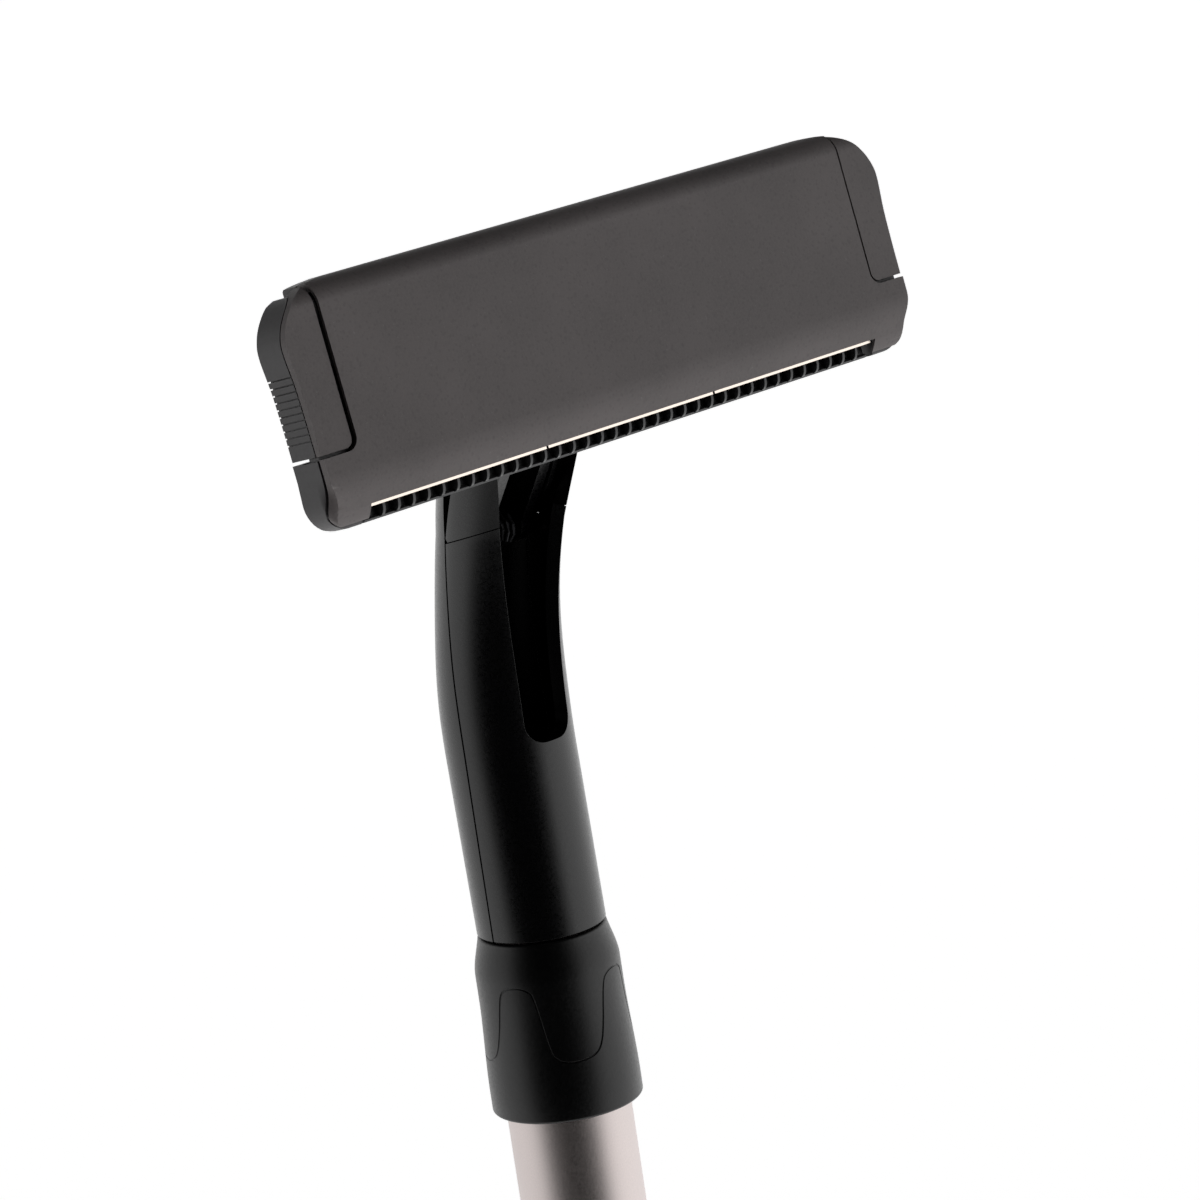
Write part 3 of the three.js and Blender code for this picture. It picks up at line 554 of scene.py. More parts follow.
def finished(obj, name, body, slot, to_row, *nodes, bevel=0.12, segments=2, limit=35):
    """Names a piece, puts it in the row frame, rounds its edges, and puts it on its body."""
    obj.name = name
    obj.data.name = name
    shape = bmesh.new()
    shape.from_mesh(obj.data)
    bmesh.ops.dissolve_limit(shape, angle_limit=math.radians(0.05), verts=shape.verts, edges=shape.edges)
    bmesh.ops.remove_doubles(shape, verts=shape.verts, dist=0.002)
    shape.to_mesh(obj.data)
    shape.free()
    obj.data.transform(to_row)
    smooth_by_angle(obj.data, 40)
    obj.data.materials.clear()
    obj.data.materials.append(MATERIALS[slot])
    if bevel:
        modifier = obj.modifiers.new("rounded_edges", "BEVEL")
        modifier.width = bevel * MM
        modifier.segments = segments
        modifier.angle_limit = math.radians(limit)
        modifier.use_clamp_overlap = True
        modifier.harden_normals = False
        normals = obj.modifiers.new("even_shading", "WEIGHTED_NORMAL")
        normals.keep_sharp = True
    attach(obj, body)
    if nodes:
        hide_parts(*nodes)
    return obj


# ---------------------------------------------------------------- pole, grip and collar

POLE_RADIUS = 9.5
POLE_BORE = 8.6
POLE_FOOT = 6
POLE_TOP = COLLAR_FOOT + 14
GRIP_FOOT, GRIP_TOP = 14, 128
SEAM_GAP = 0.3
SLEEVE_WALL = 2.4
SLEEVE_SWELL = 1.6
SLEEVE_RINGS = 5
SLEEVE_RING_PITCH = 6
TO_ROW = Matrix.Scale(MM, 4)


def make_pole():
    profile = rounded([
        (POLE_BORE, POLE_FOOT, 0.2), (POLE_RADIUS, POLE_FOOT, 0.2),
        (POLE_RADIUS, POLE_TOP, 0.2), (POLE_BORE, POLE_TOP, 0.2)])
    finished(turned(profile, 160), "pole_tube", "handle", "pole", TO_ROW, "outer_pole", bevel=0)


def sleeve_radius(height):
    t = (height - GRIP_FOOT) / (GRIP_TOP - GRIP_FOOT)
    swell = SLEEVE_SWELL * math.sin(math.pi * t) ** 2 * (1 - 0.35 * t)
    return POLE_RADIUS + SEAM_GAP + SLEEVE_WALL + swell


def make_grip():
    """Soft sleeve with a swell for the palm and rounded finger rings near its top."""
    bore = POLE_RADIUS + SEAM_GAP
    ring_top = GRIP_TOP - 12
    ring_foot = ring_top - SLEEVE_RINGS * SLEEVE_RING_PITCH

    def radius(height):
        into = (height - ring_foot) / SLEEVE_RING_PITCH
        inside = ring_foot < height < ring_top
        groove = 0.7 * max(0, 1 - ((into % 1 - 0.5) / 0.16) ** 2) if inside else 0
        return sleeve_radius(height) - groove

    outer = [(radius(height), height) for height in samples(GRIP_FOOT + 1.6, GRIP_TOP - 1.6, 460)]
    foot = [(outer[0][0] - 1.2 * a, GRIP_FOOT + 1.6 - 1.6 * b) for a, b in reversed(cosine_steps(6)[1:])]
    top = [(outer[-1][0] - 1.2 * a, GRIP_TOP - 1.6 + 1.6 * b) for a, b in cosine_steps(6)[1:]]
    profile = [(bore, GRIP_FOOT), *foot, *outer, *top, (bore, GRIP_TOP)]
    finished(turned(profile, 128), "grip_rubber", "handle", "soft_touch", TO_ROW, "grip_sleeve", bevel=0)


def make_end_cap():
    bore = POLE_BORE - SEAM_GAP
    profile = rounded([
        (0, 0, 0), (12.2, 0, 1.4), (12.2, GRIP_FOOT - SEAM_GAP, 0.5),
        (POLE_RADIUS + SEAM_GAP, GRIP_FOOT - SEAM_GAP, 0.2),
        (POLE_RADIUS + SEAM_GAP, POLE_FOOT - SEAM_GAP, 0), (bore, POLE_FOOT - SEAM_GAP, 0),
        (bore, 16, 0.3), (6.8, 16, 0.3), (6.8, 3, 0), (0, 3, 0)])
    cap = turned(profile, 128)
    ring = turned([(11.75, 9.4), (12.6, 9.2), (12.6, 10.2), (11.75, 10)], 128)
    finished(cut(cap, ring), "grip_end", "handle", "soft_touch", TO_ROW, "end_cap", bevel=0.1)


COLLAR_HEIGHT = 27.6
COLLAR_FOOT_RADIUS = 11.5
COLLAR_WAIST_RADIUS = 11.02
COLLAR_TOP_RADIUS = 9.95


def collar_radius(height):
    return (COLLAR_FOOT_RADIUS - (COLLAR_FOOT_RADIUS - COLLAR_WAIST_RADIUS) * eased(height, 3, 18)
            - 1.33 * (COLLAR_WAIST_RADIUS - COLLAR_TOP_RADIUS) * eased(height, 21.5, COLLAR_HEIGHT + 1.6))


def wave_line():
    """Engraved wave of the collar, four times round: (angle in degrees, height) through one period."""
    period = [
        (-28, 9.1), (-15, 9.6), (-8, 11.1), (-3, 14.2), (3, 19.4), (9, 20.9), (20, 21.25),
        (29, 20.7), (33.3, 19.2), (40.2, 11.6), (45.5, 9.8), (53, 9.2)]
    knots = [(angle + 90 * turn, height) for turn in range(4) for angle, height in period]
    count = len(knots)
    steps = 10

    def around(knot, near):
        return Vector((knot[0] + 360 * round((near - knot[0]) / 360), knot[1]))

    line = []
    for i in range(count):
        before, start, end, after = (around(knots[(i + k) % count], knots[i][0]) for k in (-1, 0, 1, 2))
        line += [spline_point(before, start, end, after, step / steps) for step in range(steps)]
    return line


def make_collar():
    """Locking collar with its engraved wave."""
    bore = POLE_RADIUS + 0.2
    inner = 7.5 + SEAM_GAP
    outer = [(collar_radius(height), height) for height in samples(0.5, COLLAR_HEIGHT - 0.45, 90)]
    foot = [(outer[0][0] - 0.5 * a, 0.5 - 0.5 * b) for a, b in reversed(cosine_steps(6)[1:])]
    top = [(outer[-1][0] - 0.45 * a, COLLAR_HEIGHT - 0.45 + 0.45 * b) for a, b in cosine_steps(6)[1:]]
    profile = [
        (bore, 0), *foot, *outer, *top, (inner, COLLAR_HEIGHT), (inner, 24.3), (9, 24.3), (9.55, 19.9),
        (POLE_RADIUS + 0.95, 19.8), (POLE_RADIUS + 0.95, 1.9), (bore, 1.9)]
    collar = turned(profile, 240)
    groove = wave_groove()
    finished(cut(collar, groove), "collar_grip", "collar", "soft_touch", TO_ROW_FROM_NECK,
             "lock_collar", bevel=0)


def wave_groove():
    """Thin closed tube round the collar along its wave."""
    groove_radius = 0.17
    sides = 8
    rings = []
    line = wave_line()
    for i, point in enumerate(line):
        ahead = line[(i + 1) % len(line)]
        angle = math.radians(point.x)
        radius = collar_radius(point.y) + 0.02
        run = math.radians((ahead.x - point.x + 180) % 360 - 180) * radius
        rise = ahead.y - point.y
        out = Vector((math.sin(angle), -math.cos(angle), 0))
        along = Vector((math.cos(angle), math.sin(angle), 0)) * run + Vector((0, 0, rise))
        across = out.cross(along).normalized()
        centre = out * radius + Vector((0, 0, point.y))
        rings.append([
            centre + (out * math.cos(a) + across * math.sin(a)) * groove_radius
            for a in samples(0, 2 * math.pi, sides)[:-1]])
    faces = []
    for i in range(len(rings)):
        near, past = i * sides, (i + 1) % len(rings) * sides
        for k in range(sides):
            j = (k + 1) % sides
            faces.append((near + k, near + j, past + j, past + k))
    return solid([point for ring in rings for point in ring], faces)


# ---------------------------------------------------------------- neck

NECK_FOOT, NECK_TOP = 28, 127
NECK_WALL = 2
BEND_START, BEND_RADIUS = 55, 103
PIVOT_Y, PIVOT_Z = -2.3, 89.3
FLEX_GAP = math.radians(12)
YOKE_SEAM_SLOPE = math.tan(math.radians(13))
WINDOW_FOOT, WINDOW_CORNER = 57.4, 3.2
REAR_SHELL_TOP = 111
CROWN_FOOT = 114
LIP_GAP = 0.04
FAR = 60


def neck_centre(z):
    past = max(0, z - BEND_START)
    return 0.03 * (z - NECK_FOOT) - (BEND_RADIUS - math.sqrt(BEND_RADIUS ** 2 - past ** 2))


def neck_radius(z):
    waist = 0.42 * math.sin(math.pi * (z - 60) / 40) ** 2 if 60 < z < 100 else 0
    return 9.8 - waist + 0.065 * max(0, z - 90)


def parting_line(z):
    return 0.3 - 0.0045 * max(0, z - 66) ** 2


def window_half_width(z):
    """Half width of the neck's window, with its lower corners rounded."""
    if z < WINDOW_FOOT + WINDOW_CORNER:
        rise = min(max(z - WINDOW_FOOT, 0), WINDOW_CORNER)
        return 4.5 - WINDOW_CORNER + math.sqrt(WINDOW_CORNER ** 2 - (WINDOW_CORNER - rise) ** 2)
    return min(4.5 + 0.0024 * (z - 60) ** 2, 8.6)


def seam_angle(z, offset):
    """Angle from the front at which the neck's side meets the parting line, moved along Y by an offset."""
    return math.acos((neck_centre(z) - parting_line(z) - offset) / neck_radius(z))


def window_angle(z):
    return math.asin(window_half_width(z) / neck_radius(z))


def neck_point(angle, z):
    radius = neck_radius(z)
    return (radius * math.sin(angle), neck_centre(z) - radius * math.cos(angle), z)


def about_pivot(y, z, angle):
    dy, dz = y - PIVOT_Y, z - PIVOT_Z
    turned_y = dy * math.cos(angle) - dz * math.sin(angle)
    turned_z = dy * math.sin(angle) + dz * math.cos(angle)
    return (PIVOT_Y + turned_y, PIVOT_Z + turned_z)


def settle(start, angle_at, top_at):
    """Height at which the neck's surface meets a sloping edge."""
    z = start
    for _ in range(12):
        z = top_at(neck_point(angle_at(z), z)[1])
    return z


def make_neck_front():
    """Front shell: whole below the window, two arms beside it, and a slanted lip under the yoke."""
    gap = -SEAM_GAP / 2
    lip = PIVOT_Z - LIP_GAP
    first = window_angle(WINDOW_FOOT)
    lower = samples(NECK_FOOT, WINDOW_FOOT, 34)
    corner = [WINDOW_FOOT + WINDOW_CORNER * a for a, _ in cosine_steps(10)]
    patches = [patch(samples(-1, 1, 8), lower, lambda c, z: neck_point(first * c, z))]
    for side in (1, -1):
        def angle(c, z, start):
            return side * (start + (seam_angle(z, gap) - start) * c)
        columns = samples(0, 1, 40)[::side]
        patches.append(patch(columns, lower, lambda c, z: neck_point(angle(c, z, first), z)))
        patches.append(patch(columns, corner, lambda c, z: neck_point(angle(c, z, window_angle(z)), z)))

        def upper(c, t):
            top = settle(
                lip, lambda z: angle(c, z, window_angle(z)), lambda y: lip + YOKE_SEAM_SLOPE * (PIVOT_Y - y))
            z = corner[-1] + (top - corner[-1]) * t
            return neck_point(angle(c, z, window_angle(z)), z)
        patches.append(patch(columns, samples(0, 1, 44), upper))
    shell = sheet_of(patches, NECK_WALL)
    finished(shell, "neck_front_shell", "neck", "neck_plastic", TO_ROW_FROM_NECK,
             "neck_front", bevel=0.16, limit=50)


def make_neck_rear():
    """Rear shell, with recesses for its two screws, and the pieces inside it."""
    gap = SEAM_GAP / 2
    seam = parting_line(REAR_SHELL_TOP) + gap
    slope = 14 / (FAR - seam)

    def place(c, t):
        def angle(z):
            start = seam_angle(z, gap)
            return start + (2 * math.pi - 2 * start) * c
        top = settle(REAR_SHELL_TOP, angle, lambda y: REAR_SHELL_TOP + slope * (y - seam))
        z = NECK_FOOT + (top - NECK_FOOT) * t
        return neck_point(angle(z), z)

    shell = sheet_of([patch(samples(0, 1, 110), samples(0, 1, 90), place)], NECK_WALL)
    seats = []
    for height, depth in ((36, 8.7), (52.5, 9.0)):
        seats += [along_y(cylinder(1.7, 8), height, 4), along_y(cylinder(3, 8), height, depth)]
    low, high = NECK_FOOT - 1, REAR_SHELL_TOP + 6
    seam_line = [(parting_line(z) + gap - 0.02, z) for z in samples(low, high, 80)]
    in_front = side_prism([*seam_line, (-FAR, high), (-FAR, low)], -20, 20)
    cut(shell, in_front, *seats)
    finished(shell, "neck_rear_shell", "neck", "neck_plastic", TO_ROW_FROM_NECK,
             "neck_rear", bevel=0.14, limit=50)
    make_pivot_cheeks()


def make_pivot_cheeks():
    """Two plates inside the rear shell that close the V from within, and the pivot pin's bosses."""
    plate_reach = 5
    front = []
    for z in samples(PIVOT_Z, REAR_SHELL_TOP - 1.5, 12):
        y, height = about_pivot(parting_line(z), z, FLEX_GAP)
        front.append((y - plate_reach * eased(z, PIVOT_Z, PIVOT_Z + 6), height))
    region = [*front, (FAR, REAR_SHELL_TOP - 2.5), (FAR, PIVOT_Z)]
    plates = joined(*both_sides(lambda side: side_prism(region, *side_range(side, 5.65, 6.45))))
    common(plates, neck_bar(80, 120, NECK_WALL * 0.6))
    bosses = both_sides(lambda side: pivot_bar(2.8, *side_range(side, 5.6, 7.1)))
    joined(plates, *bosses)
    cut(plates, pivot_bar(1.55, -7.6, 7.6))
    finished(plates, "pivot_cheeks", "neck", "neck_plastic", TO_ROW_FROM_NECK, bevel=0.12)


def neck_bar(start, end, inset, steps=40):
    heights = samples(start, end, steps)
    profile = [(0, start), *[(neck_radius(z) - inset, z) for z in heights], (0, end)]
    return turned(profile, 192, neck_centre)


def pivot_bar(radius, start, end):
    bar = cylinder(radius, end - start)
    return moved(bar, Matrix.Translation((start, PIVOT_Y, PIVOT_Z)) @ Matrix.Rotation(math.pi / 2, 4, "Y"))


def window_prism():
    corner = [WINDOW_FOOT + WINDOW_CORNER * a for a, _ in cosine_steps(8)]
    heights = [*corner, *samples(62, NECK_TOP - 9, 60)]
    right = [(window_half_width(z), z) for z in heights]
    left = [(-x, z) for x, z in reversed(right)]
    return prism(right + left, -FAR, 0, lambda a, b, height: (a, height, b))


def make_yoke():
    """Head bearer: cheeks that carry on the front shell, a closed crown, and arms down to the pivot."""
    lip = PIVOT_Z + LIP_GAP
    vee_heights = samples(PIVOT_Z + 0.8, REAR_SHELL_TOP - 1, 24)
    vee = [about_pivot(parting_line(z), z, FLEX_GAP) for z in vee_heights]
    roof = REAR_SHELL_TOP + 1.2
    back = parting_line(REAR_SHELL_TOP)
    region = side_prism([
        (PIVOT_Y - 0.5, lip + 0.2), *vee, (back - 5.2, roof), (back + 0.4, roof + 0.1), (FAR, roof + 14),
        (FAR, NECK_TOP + 20), (-FAR, NECK_TOP + 20),
        (-FAR, lip + YOKE_SEAM_SLOPE * (FAR + PIVOT_Y))], -20, 20)
    shell = cut(neck_bar(86, NECK_TOP, 0, 82), neck_bar(84, NECK_TOP + 2, NECK_WALL, 60), window_prism())
    crown = common(
        neck_bar(CROWN_FOOT, NECK_TOP, 0, 26), block((-20, 20), (-FAR, FAR), (CROWN_FOOT, NECK_TOP + 5)))
    joined(shell, crown)
    common(shell, region)
    arm = [
        (PIVOT_Y - 2.9, PIVOT_Z), (PIVOT_Y + 0.2, PIVOT_Z + 2.9),
        (-14.5, CROWN_FOOT + 3), (-24, CROWN_FOOT + 3)]
    arms = both_sides(lambda side: side_prism(arm, *side_range(side, 3.2, 5.3)))
    eyes = both_sides(lambda side: pivot_bar(3, *side_range(side, 3.2, 5.3)))
    inside = joined(*arms)
    common(inside, neck_bar(80, NECK_TOP, 0.2))
    joined(shell, inside, *eyes)
    to_neck = TO_ROW_FROM_NECK.inverted() @ TO_ROW_FROM_HEAD
    behind = moved(block((-80, 80), (-60, 80), (-80, -HEAD_DEPTH - SEAM_GAP)), to_neck)
    common(shell, behind)
    holes = both_sides(lambda side: moved(
        cylinder(1.35, 10), to_neck @ Matrix.Translation((side * MOUNT_SCREW_X, MOUNT_SCREW_U, -14.5))))
    cut(shell, pivot_bar(1.55, -7.6, 7.6), *holes)
    finished(shell, "head_bearer", "head", "neck_plastic", TO_ROW_FROM_NECK,
             "head_yoke", bevel=0.16, limit=40)


# ---------------------------------------------------------------- head

HEAD_DEPTH = 6.8
HEAD_TOP = 31.5
TOP_ROLL = 3.5
CORNER_DEPTH = 3
SKIN = 0.5
SKIN_GAP = 0.2
CORNER_FLANGE = 1.05
RIM_DEPTH = 1.0
RIM_WALL = 1.2
BUTTON_SEAM = 52.7
BUTTON_FOOT = 8.2
BUTTON_RECESS = 0.35
BUTTON_WALL = 2.2
SEAM_WIDTH = 0.65
SLIT_WIDTH = 0.6
GRIP_GROOVES = 10
COMB_HALF = 51.3
RIB_PITCH, RIB_COUNT, RIB_THICKNESS = 2.83, 35, 0.45
BLADE_HALF = 50.9
BLADE_NOTCH = 0.42
MOUNT_SCREW_X, MOUNT_SCREW_U = 5.6, 15.5


def bezier(points, t):
    points = [Vector(point) for point in points]
    while len(points) > 1:
        points = [a.lerp(b, t) for a, b in zip(points, points[1:])]
    return points[0]


def evenly(curve, count):
    """Points at equal steps along a polyline."""
    lengths = [0.0]
    for a, b in zip(curve, curve[1:]):
        lengths.append(lengths[-1] + (b - a).length)
    spots = np.linspace(0, lengths[-1], count + 1)
    across, up = [p.x for p in curve], [p.y for p in curve]
    return [Vector((np.interp(s, lengths, across), np.interp(s, lengths, up))) for s in spots]


def catmull(points, steps):
    """Smooth line through points, the way a three-dimensional modeller's spline runs."""
    line = []
    for i in range(len(points) - 1):
        before = Vector(points[max(i - 1, 0)])
        start, end = Vector(points[i]), Vector(points[i + 1])
        after = Vector(points[min(i + 2, len(points) - 1)])
        line += [spline_point(before, start, end, after, step / steps) for step in range(steps)]
    return [*line, Vector(points[-1])]


SIDE_LINE = [
    (58.7, 5.2), (58.72, 9), (58.75, 13), (58.9, 18), (59.35, 22.9), (58.95, 25.2), (57.7, 27.4),
    (55.5, 29.5), (52, 31), (47.5, HEAD_TOP)]


def right_outline(depth):
    """Right half of the head's outline: its lower corner is round at the face and squarer behind."""
    controls = [(47, -2.2), (52.5, -2), (58.6, 0.6), (58.7, 5.2)]
    face = evenly([bezier(controls, t) for t in samples(0, 1, 60)], 26)
    radius = 4.5
    turn = [Vector((54.4 + radius * math.sin(a), HEAD_FOOT + radius - radius * math.cos(a)))
            for a in samples(0, math.pi / 2, 30)]
    behind = evenly([Vector((47, HEAD_FOOT)), *turn, Vector((58.7, 5.2))], 26)
    squareness = eased(-depth, 0, CORNER_DEPTH)
    corner = [a.lerp(b, squareness) for a, b in zip(face, behind)]
    return [*corner, *catmull(SIDE_LINE, 7)[1:]]


def head_outline(inset, depth):
    right = right_outline(depth)
    points = [*right, *[Vector((-p.x, p.y)) for p in reversed(right)]]
    outline = []
    for i, point in enumerate(points):
        along = (points[(i + 1) % len(points)] - points[i - 1]).normalized()
        outline.append((point.x - along.y * inset, point.y + along.x * inset))
    return outline


def head_section(inset):
    """Section through the head: rolled over at the top and at the lower front edge."""
    back = -HEAD_DEPTH
    lower = [(-4.3, HEAD_FOOT), (-3.3, HEAD_FOOT), (-2.5 - inset, -1.2 + inset / 2), (-1.75 - inset, 0)]
    upper = [(-1.75 - inset, 0), (-1 - inset, 1.5), (-inset, 3), (-inset, 5.4)]
    points = [(back, HEAD_FOOT + 0.6), (back + 0.6, HEAD_FOOT)]
    points += [tuple(bezier(lower, t)) for t in samples(0, 1, 14)]
    points += [tuple(bezier(upper, t)) for t in samples(0, 1, 10)[1:]]
    roll = TOP_ROLL - inset
    points += [(-TOP_ROLL + roll * math.cos(a), HEAD_TOP - TOP_ROLL + roll * math.sin(a))
               for a in samples(0, math.pi / 2, 26)]
    return [*points, (back + 0.8, HEAD_TOP - inset), (back, HEAD_TOP - 0.8 - inset)]


def head_block(outline_inset, section_inset):
    depths = [-HEAD_DEPTH - 1, *samples(-CORNER_DEPTH, 0, 12), 1]
    rings = [[(x, u, depth) for x, u in head_outline(outline_inset, depth)] for depth in depths]
    return common(lofted(rings), section_prism(head_section(section_inset), -70, 70))


def button_space(side, margin):
    inner = BUTTON_SEAM - margin
    foot = BUTTON_FOOT - margin * 0.75
    corner = 1.3 + margin
    turn = [(inner + corner + corner * math.cos(a), foot + corner + corner * math.sin(a))
            for a in samples(math.pi, 1.5 * math.pi, 10)]
    outline = [(70, foot), (70, 50), (inner, 50), *turn]
    return front_prism([(side * x, u) for x, u in outline], -20, 20)


def skin_shell(recess):
    """Skin over the face with a rim that turns back round the outline, its face set back by a recess."""
    sheet = cut(head_block(0, recess), head_block(-2, recess + SKIN))
    rim = cut(head_block(0, recess), head_block(-2, recess + RIM_DEPTH), head_block(RIM_WALL, -3))
    joined(sheet, rim)
    upper = block((-70, 70), (10, 40), (-TOP_ROLL, 5))
    lower = block((-70, 70), (-20, 10), (-3.2, 5))
    return common(sheet, joined(upper, lower))


def skin_room(recess):
    """Room that the skin needs in the piece behind it."""
    sheet = cut(head_block(-1, -1), head_block(-2, recess + SKIN + SKIN_GAP))
    behind = head_block(-2, recess + RIM_DEPTH + SKIN_GAP)
    rim = cut(head_block(-1, -1), behind, head_block(RIM_WALL + SKIN_GAP, -3))
    return joined(sheet, rim)


def make_face_skin():
    skin = skin_shell(0)
    buttons = both_sides(lambda side: button_space(side, SEAM_WIDTH))
    cut(skin, *buttons, block((-COMB_HALF, COMB_HALF), (-20, 0), (-20, 20)))
    finished(skin, "face_skin", "cartridge", "face_skin", TO_ROW_FROM_HEAD, "face_plate", bevel=0.1)


def make_cartridge():
    front = common(head_block(0, 0), block((-70, 70), (-20, 28.6), (-2.2, 5)))
    corners = both_sides(lambda side: block(side_range(side, 51.9, 70), (-20, 20), (-20, -CORNER_FLANGE)))
    pockets = both_sides(lambda side: block(side_range(side, 49.4, 60), (12.6, 19.4), (-20, 5)))
    buttons = both_sides(lambda side: button_space(side, SEAM_WIDTH))
    comb = block((-COMB_HALF - 0.6, COMB_HALF + 0.6), (-20, 0.3), (-20, 20))
    cut(front, skin_room(0))
    cut(front, *corners, *pockets, *buttons, comb)
    finished(front, "cartridge_backing", "cartridge", "cap_plastic", TO_ROW_FROM_HEAD,
             "cartridge_body", bevel=0.08)


BLADE_FRONT = -2.5
BLADE_THICKNESS = 0.35
BLADE_TOP = 5
BLADE_EDGE = -0.42
POST_OFFSET = 11
POST_HEIGHT = 3.1
BLADE_PITCH = 2 * BLADE_HALF / 3


def make_blades():
    back = BLADE_FRONT - BLADE_THICKNESS
    section = [
        (back, BLADE_TOP), (back, 0.5), (BLADE_FRONT - 0.1, BLADE_EDGE + 0.25),
        (BLADE_FRONT - 0.04, BLADE_EDGE), (BLADE_FRONT - 0.01, BLADE_EDGE + 0.02),
        (BLADE_FRONT, BLADE_EDGE + 0.3), (BLADE_FRONT, BLADE_TOP)]
    for index, name in enumerate(("left", "middle", "right")):
        start = -BLADE_HALF + index * BLADE_PITCH + (BLADE_NOTCH / 2 if index > 0 else 0)
        end = -BLADE_HALF + (index + 1) * BLADE_PITCH - (BLADE_NOTCH / 2 if index < 2 else 0)
        centre = -BLADE_HALF + (index + 0.5) * BLADE_PITCH
        holes = [moved(cylinder(1.3, 4), Matrix.Translation((centre + offset, POST_HEIGHT, -5)))
                 for offset in (-POST_OFFSET, POST_OFFSET)]
        blade = cut(section_prism(section, start, end), *holes)
        finished(blade, f"razor_blade_{name}", "cartridge", "blade_steel", TO_ROW_FROM_HEAD,
                 f"blade_{name}", bevel=0)


def make_comb():
    """Comb below the blades: curved ribs between a rail and the blades' support."""
    half = COMB_HALF - 0.2
    support = block((-half, half), (0.6, 6), (-4.2, BLADE_FRONT - BLADE_THICKNESS - SEAM_GAP))
    wall = block((-half, half), (HEAD_FOOT + 0.2, 2.2), (-5.7, -4.9))
    rail = section_prism([
        (-5.7, HEAD_FOOT + 0.5), (-5.4, HEAD_FOOT), (-4.6, HEAD_FOOT), (-4.4, HEAD_FOOT + 0.3),
        (-4.6, HEAD_FOOT + 0.6), (-5.7, HEAD_FOOT + 0.6)], -half, half)
    roof = block((-half, half), (1.3, 2.2), (-5.7, -4))
    arc = [(-4.3 + 1.2 * math.sin(a), -0.55 - 1.65 * math.cos(a)) for a in samples(0, math.pi / 2, 14)]
    rib = [(-5.2, 1.6), (-5.2, HEAD_FOOT + 0.3), *arc, (-3.1, 0.8), (-3.4, 1.6)]
    posts = [moved(cylinder(1, 1.6), Matrix.Translation((k * BLADE_PITCH + offset, POST_HEIGHT, -4)))
             for k in (-1, 0, 1) for offset in (-POST_OFFSET, POST_OFFSET)]
    guard = joined(support, wall, rail, roof, *posts)
    ribs = []
    for i in range(RIB_COUNT):
        middle = (i - (RIB_COUNT - 1) / 2) * RIB_PITCH
        ribs.append(section_prism(rib, middle - RIB_THICKNESS / 2, middle + RIB_THICKNESS / 2))
    joined(guard, *ribs)
    finished(guard, "comb_ribs", "cartridge", "comb_plastic", TO_ROW_FROM_HEAD, "comb_guard", bevel=0.07)


def make_rear_housing():
    plate = common(head_block(0, 0), block((-70, 70), (2.6, 40), (-HEAD_DEPTH - 1, -4.6)))
    inner = BUTTON_SEAM - SEAM_WIDTH
    top_wall = common(
        head_block(0, 0), block((-inner, inner), (30.2, 40), (-HEAD_DEPTH - 1, -TOP_ROLL - 0.25)))
    corners = joined(*both_sides(lambda side: block(
        side_range(side, 52, 70), (-20, BUTTON_FOOT - SLIT_WIDTH), (-HEAD_DEPTH - 1, 0))))
    common(corners, head_block(0, 0), head_block(-2, RIM_DEPTH + 0.45))
    lips = joined(*both_sides(lambda side: block(
        side_range(side, 52, 70), (7, BUTTON_FOOT - 0.07), (-3.4, -RIM_DEPTH - 0.45))))
    common(lips, head_block(0.4, 0))
    stops = both_sides(lambda side: block(side_range(side, 48.6, 49.9), (20.6, 23.4), (-5, -2.7)))
    room = cut(head_block(-3, -3), front_prism(head_outline(BUTTON_WALL + 0.9, -HEAD_DEPTH), -20, 20))
    common(room, joined(*both_sides(lambda side: button_space(side, SEAM_WIDTH))))
    comb = block((-COMB_HALF - 0.2, COMB_HALF + 0.2), (-20, 2.6), (-20, 20))
    holes = both_sides(lambda side: moved(
        cylinder(1.7, 10), Matrix.Translation((side * MOUNT_SCREW_X, MOUNT_SCREW_U, -10))))
    joined(plate, top_wall, corners)
    cut(plate, room)
    joined(plate, lips)
    cut(plate, comb)
    joined(plate, *stops)
    cut(plate, *holes)
    finished(plate, "rear_housing", "head", "cap_plastic", TO_ROW_FROM_HEAD, "head_frame", bevel=0.14)


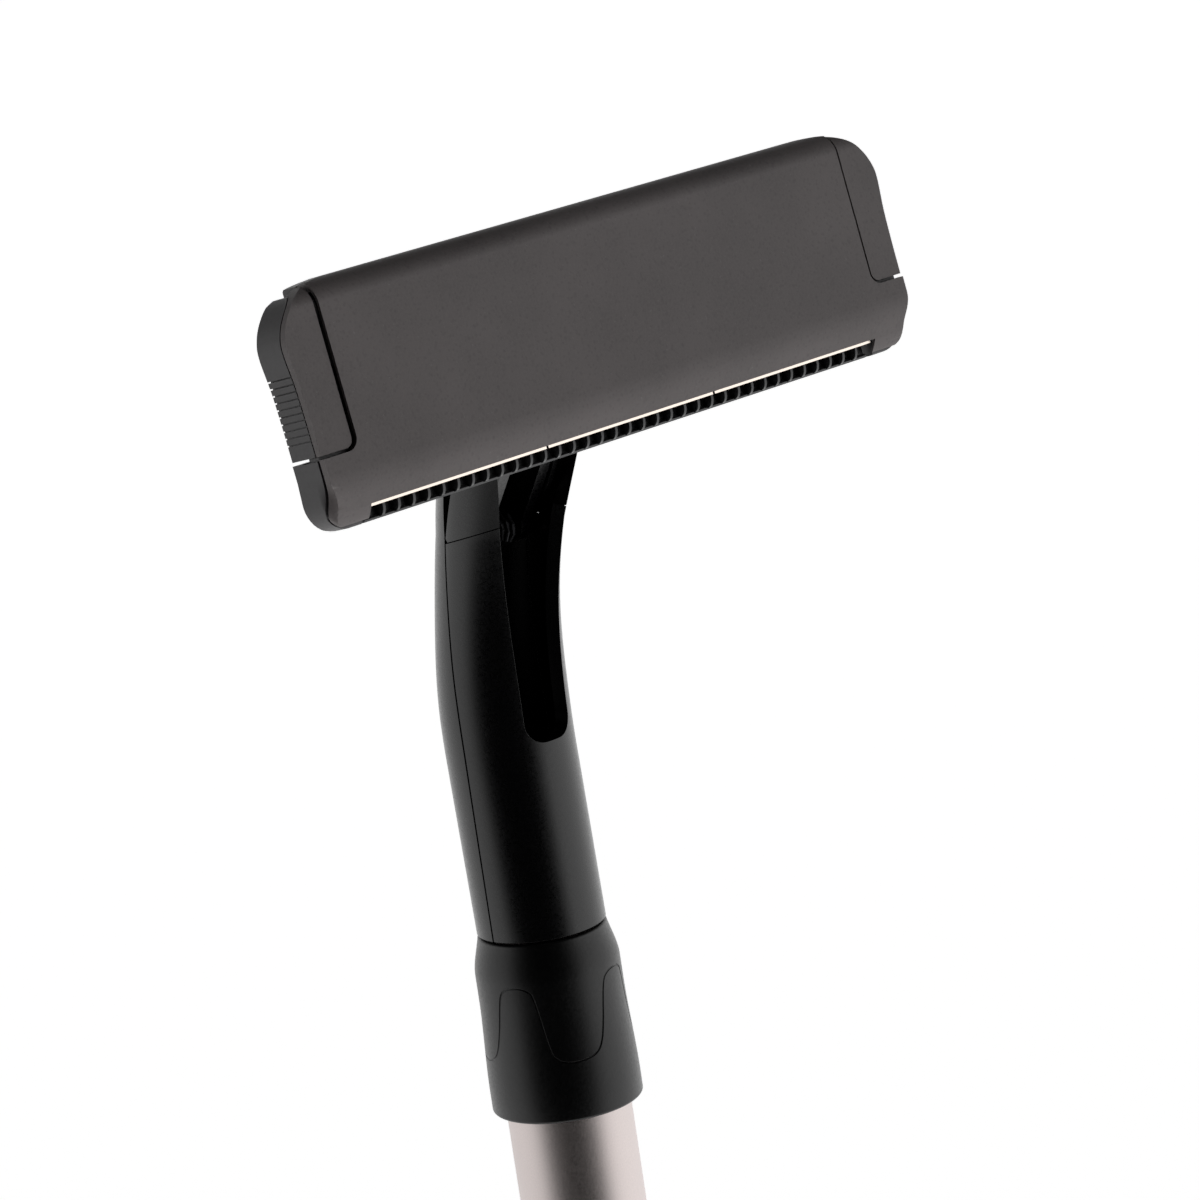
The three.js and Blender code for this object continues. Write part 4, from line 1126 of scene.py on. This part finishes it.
def make_button(side, name):
    space = button_space(side, 0)
    depth = block((-70, 70), (-20, 40), (-HEAD_DEPTH + 0.2, 5))
    button = common(head_block(0, BUTTON_RECESS), depth, space)
    hollow = front_prism(head_outline(BUTTON_WALL, -HEAD_DEPTH), -20, -2.6)
    finger = block(side_range(side, 50.6, 53.5), (14, 18), (-2.6, -1.5))
    cut(button, skin_room(BUTTON_RECESS), hollow)
    joined(button, finger)
    grooves = []
    for i in range(GRIP_GROOVES):
        u = 15 + (i - (GRIP_GROOVES - 1) / 2)
        grooves.append(block(side_range(side, 58.5, 62), (u - 0.1, u + 0.1), (-20, 20)))
    cut(button, *grooves)
    finished(button, f"release_{name}", f"{name}_button", "cap_plastic", TO_ROW_FROM_HEAD,
             f"button_{name}", bevel=0.09)
    cover = common(skin_shell(BUTTON_RECESS), button_space(side, 0))
    finished(cover, f"release_cover_{name}", f"{name}_button", "face_skin", TO_ROW_FROM_HEAD,
             f"button_cover_{name}", bevel=0.09)


# ---------------------------------------------------------------- CAD nodes that stay

SLOT_OF = {part["node"]: part["material_slot"] for part in frame["record"]["subparts"]}
KEPT = [
    "lock_ferrule", "lock_collet", "collar_core", "inner_pole", "inner_pole_bush", "neck_screw_lower",
    "neck_screw_upper", "pivot_pin", "flex_spring", "mount_screw_left", "mount_screw_right",
    "button_spring_left", "button_spring_right"]


def dress(name):
    """Gives a CAD node its material, and softens its edges with modifiers."""
    obj = frame["nodes"][name]
    obj.data.materials.clear()
    obj.data.materials.append(MATERIALS[SLOT_OF[name]])
    weld = obj.modifiers.new("weld", "WELD")
    weld.merge_threshold = 1e-6
    bevel = obj.modifiers.new("bevel", "BEVEL")
    bevel.width = 0.08 * MM
    bevel.segments = 2
    bevel.angle_limit = math.radians(35)


make_camera()
make_floor()
make_light()
for cad_name in KEPT:
    dress(cad_name)
make_pole()
make_grip()
make_end_cap()
make_collar()
make_neck_front()
make_neck_rear()
make_yoke()
make_face_skin()
make_cartridge()
make_blades()
make_comb()
make_rear_housing()
make_button(-1, "left")
make_button(1, "right")
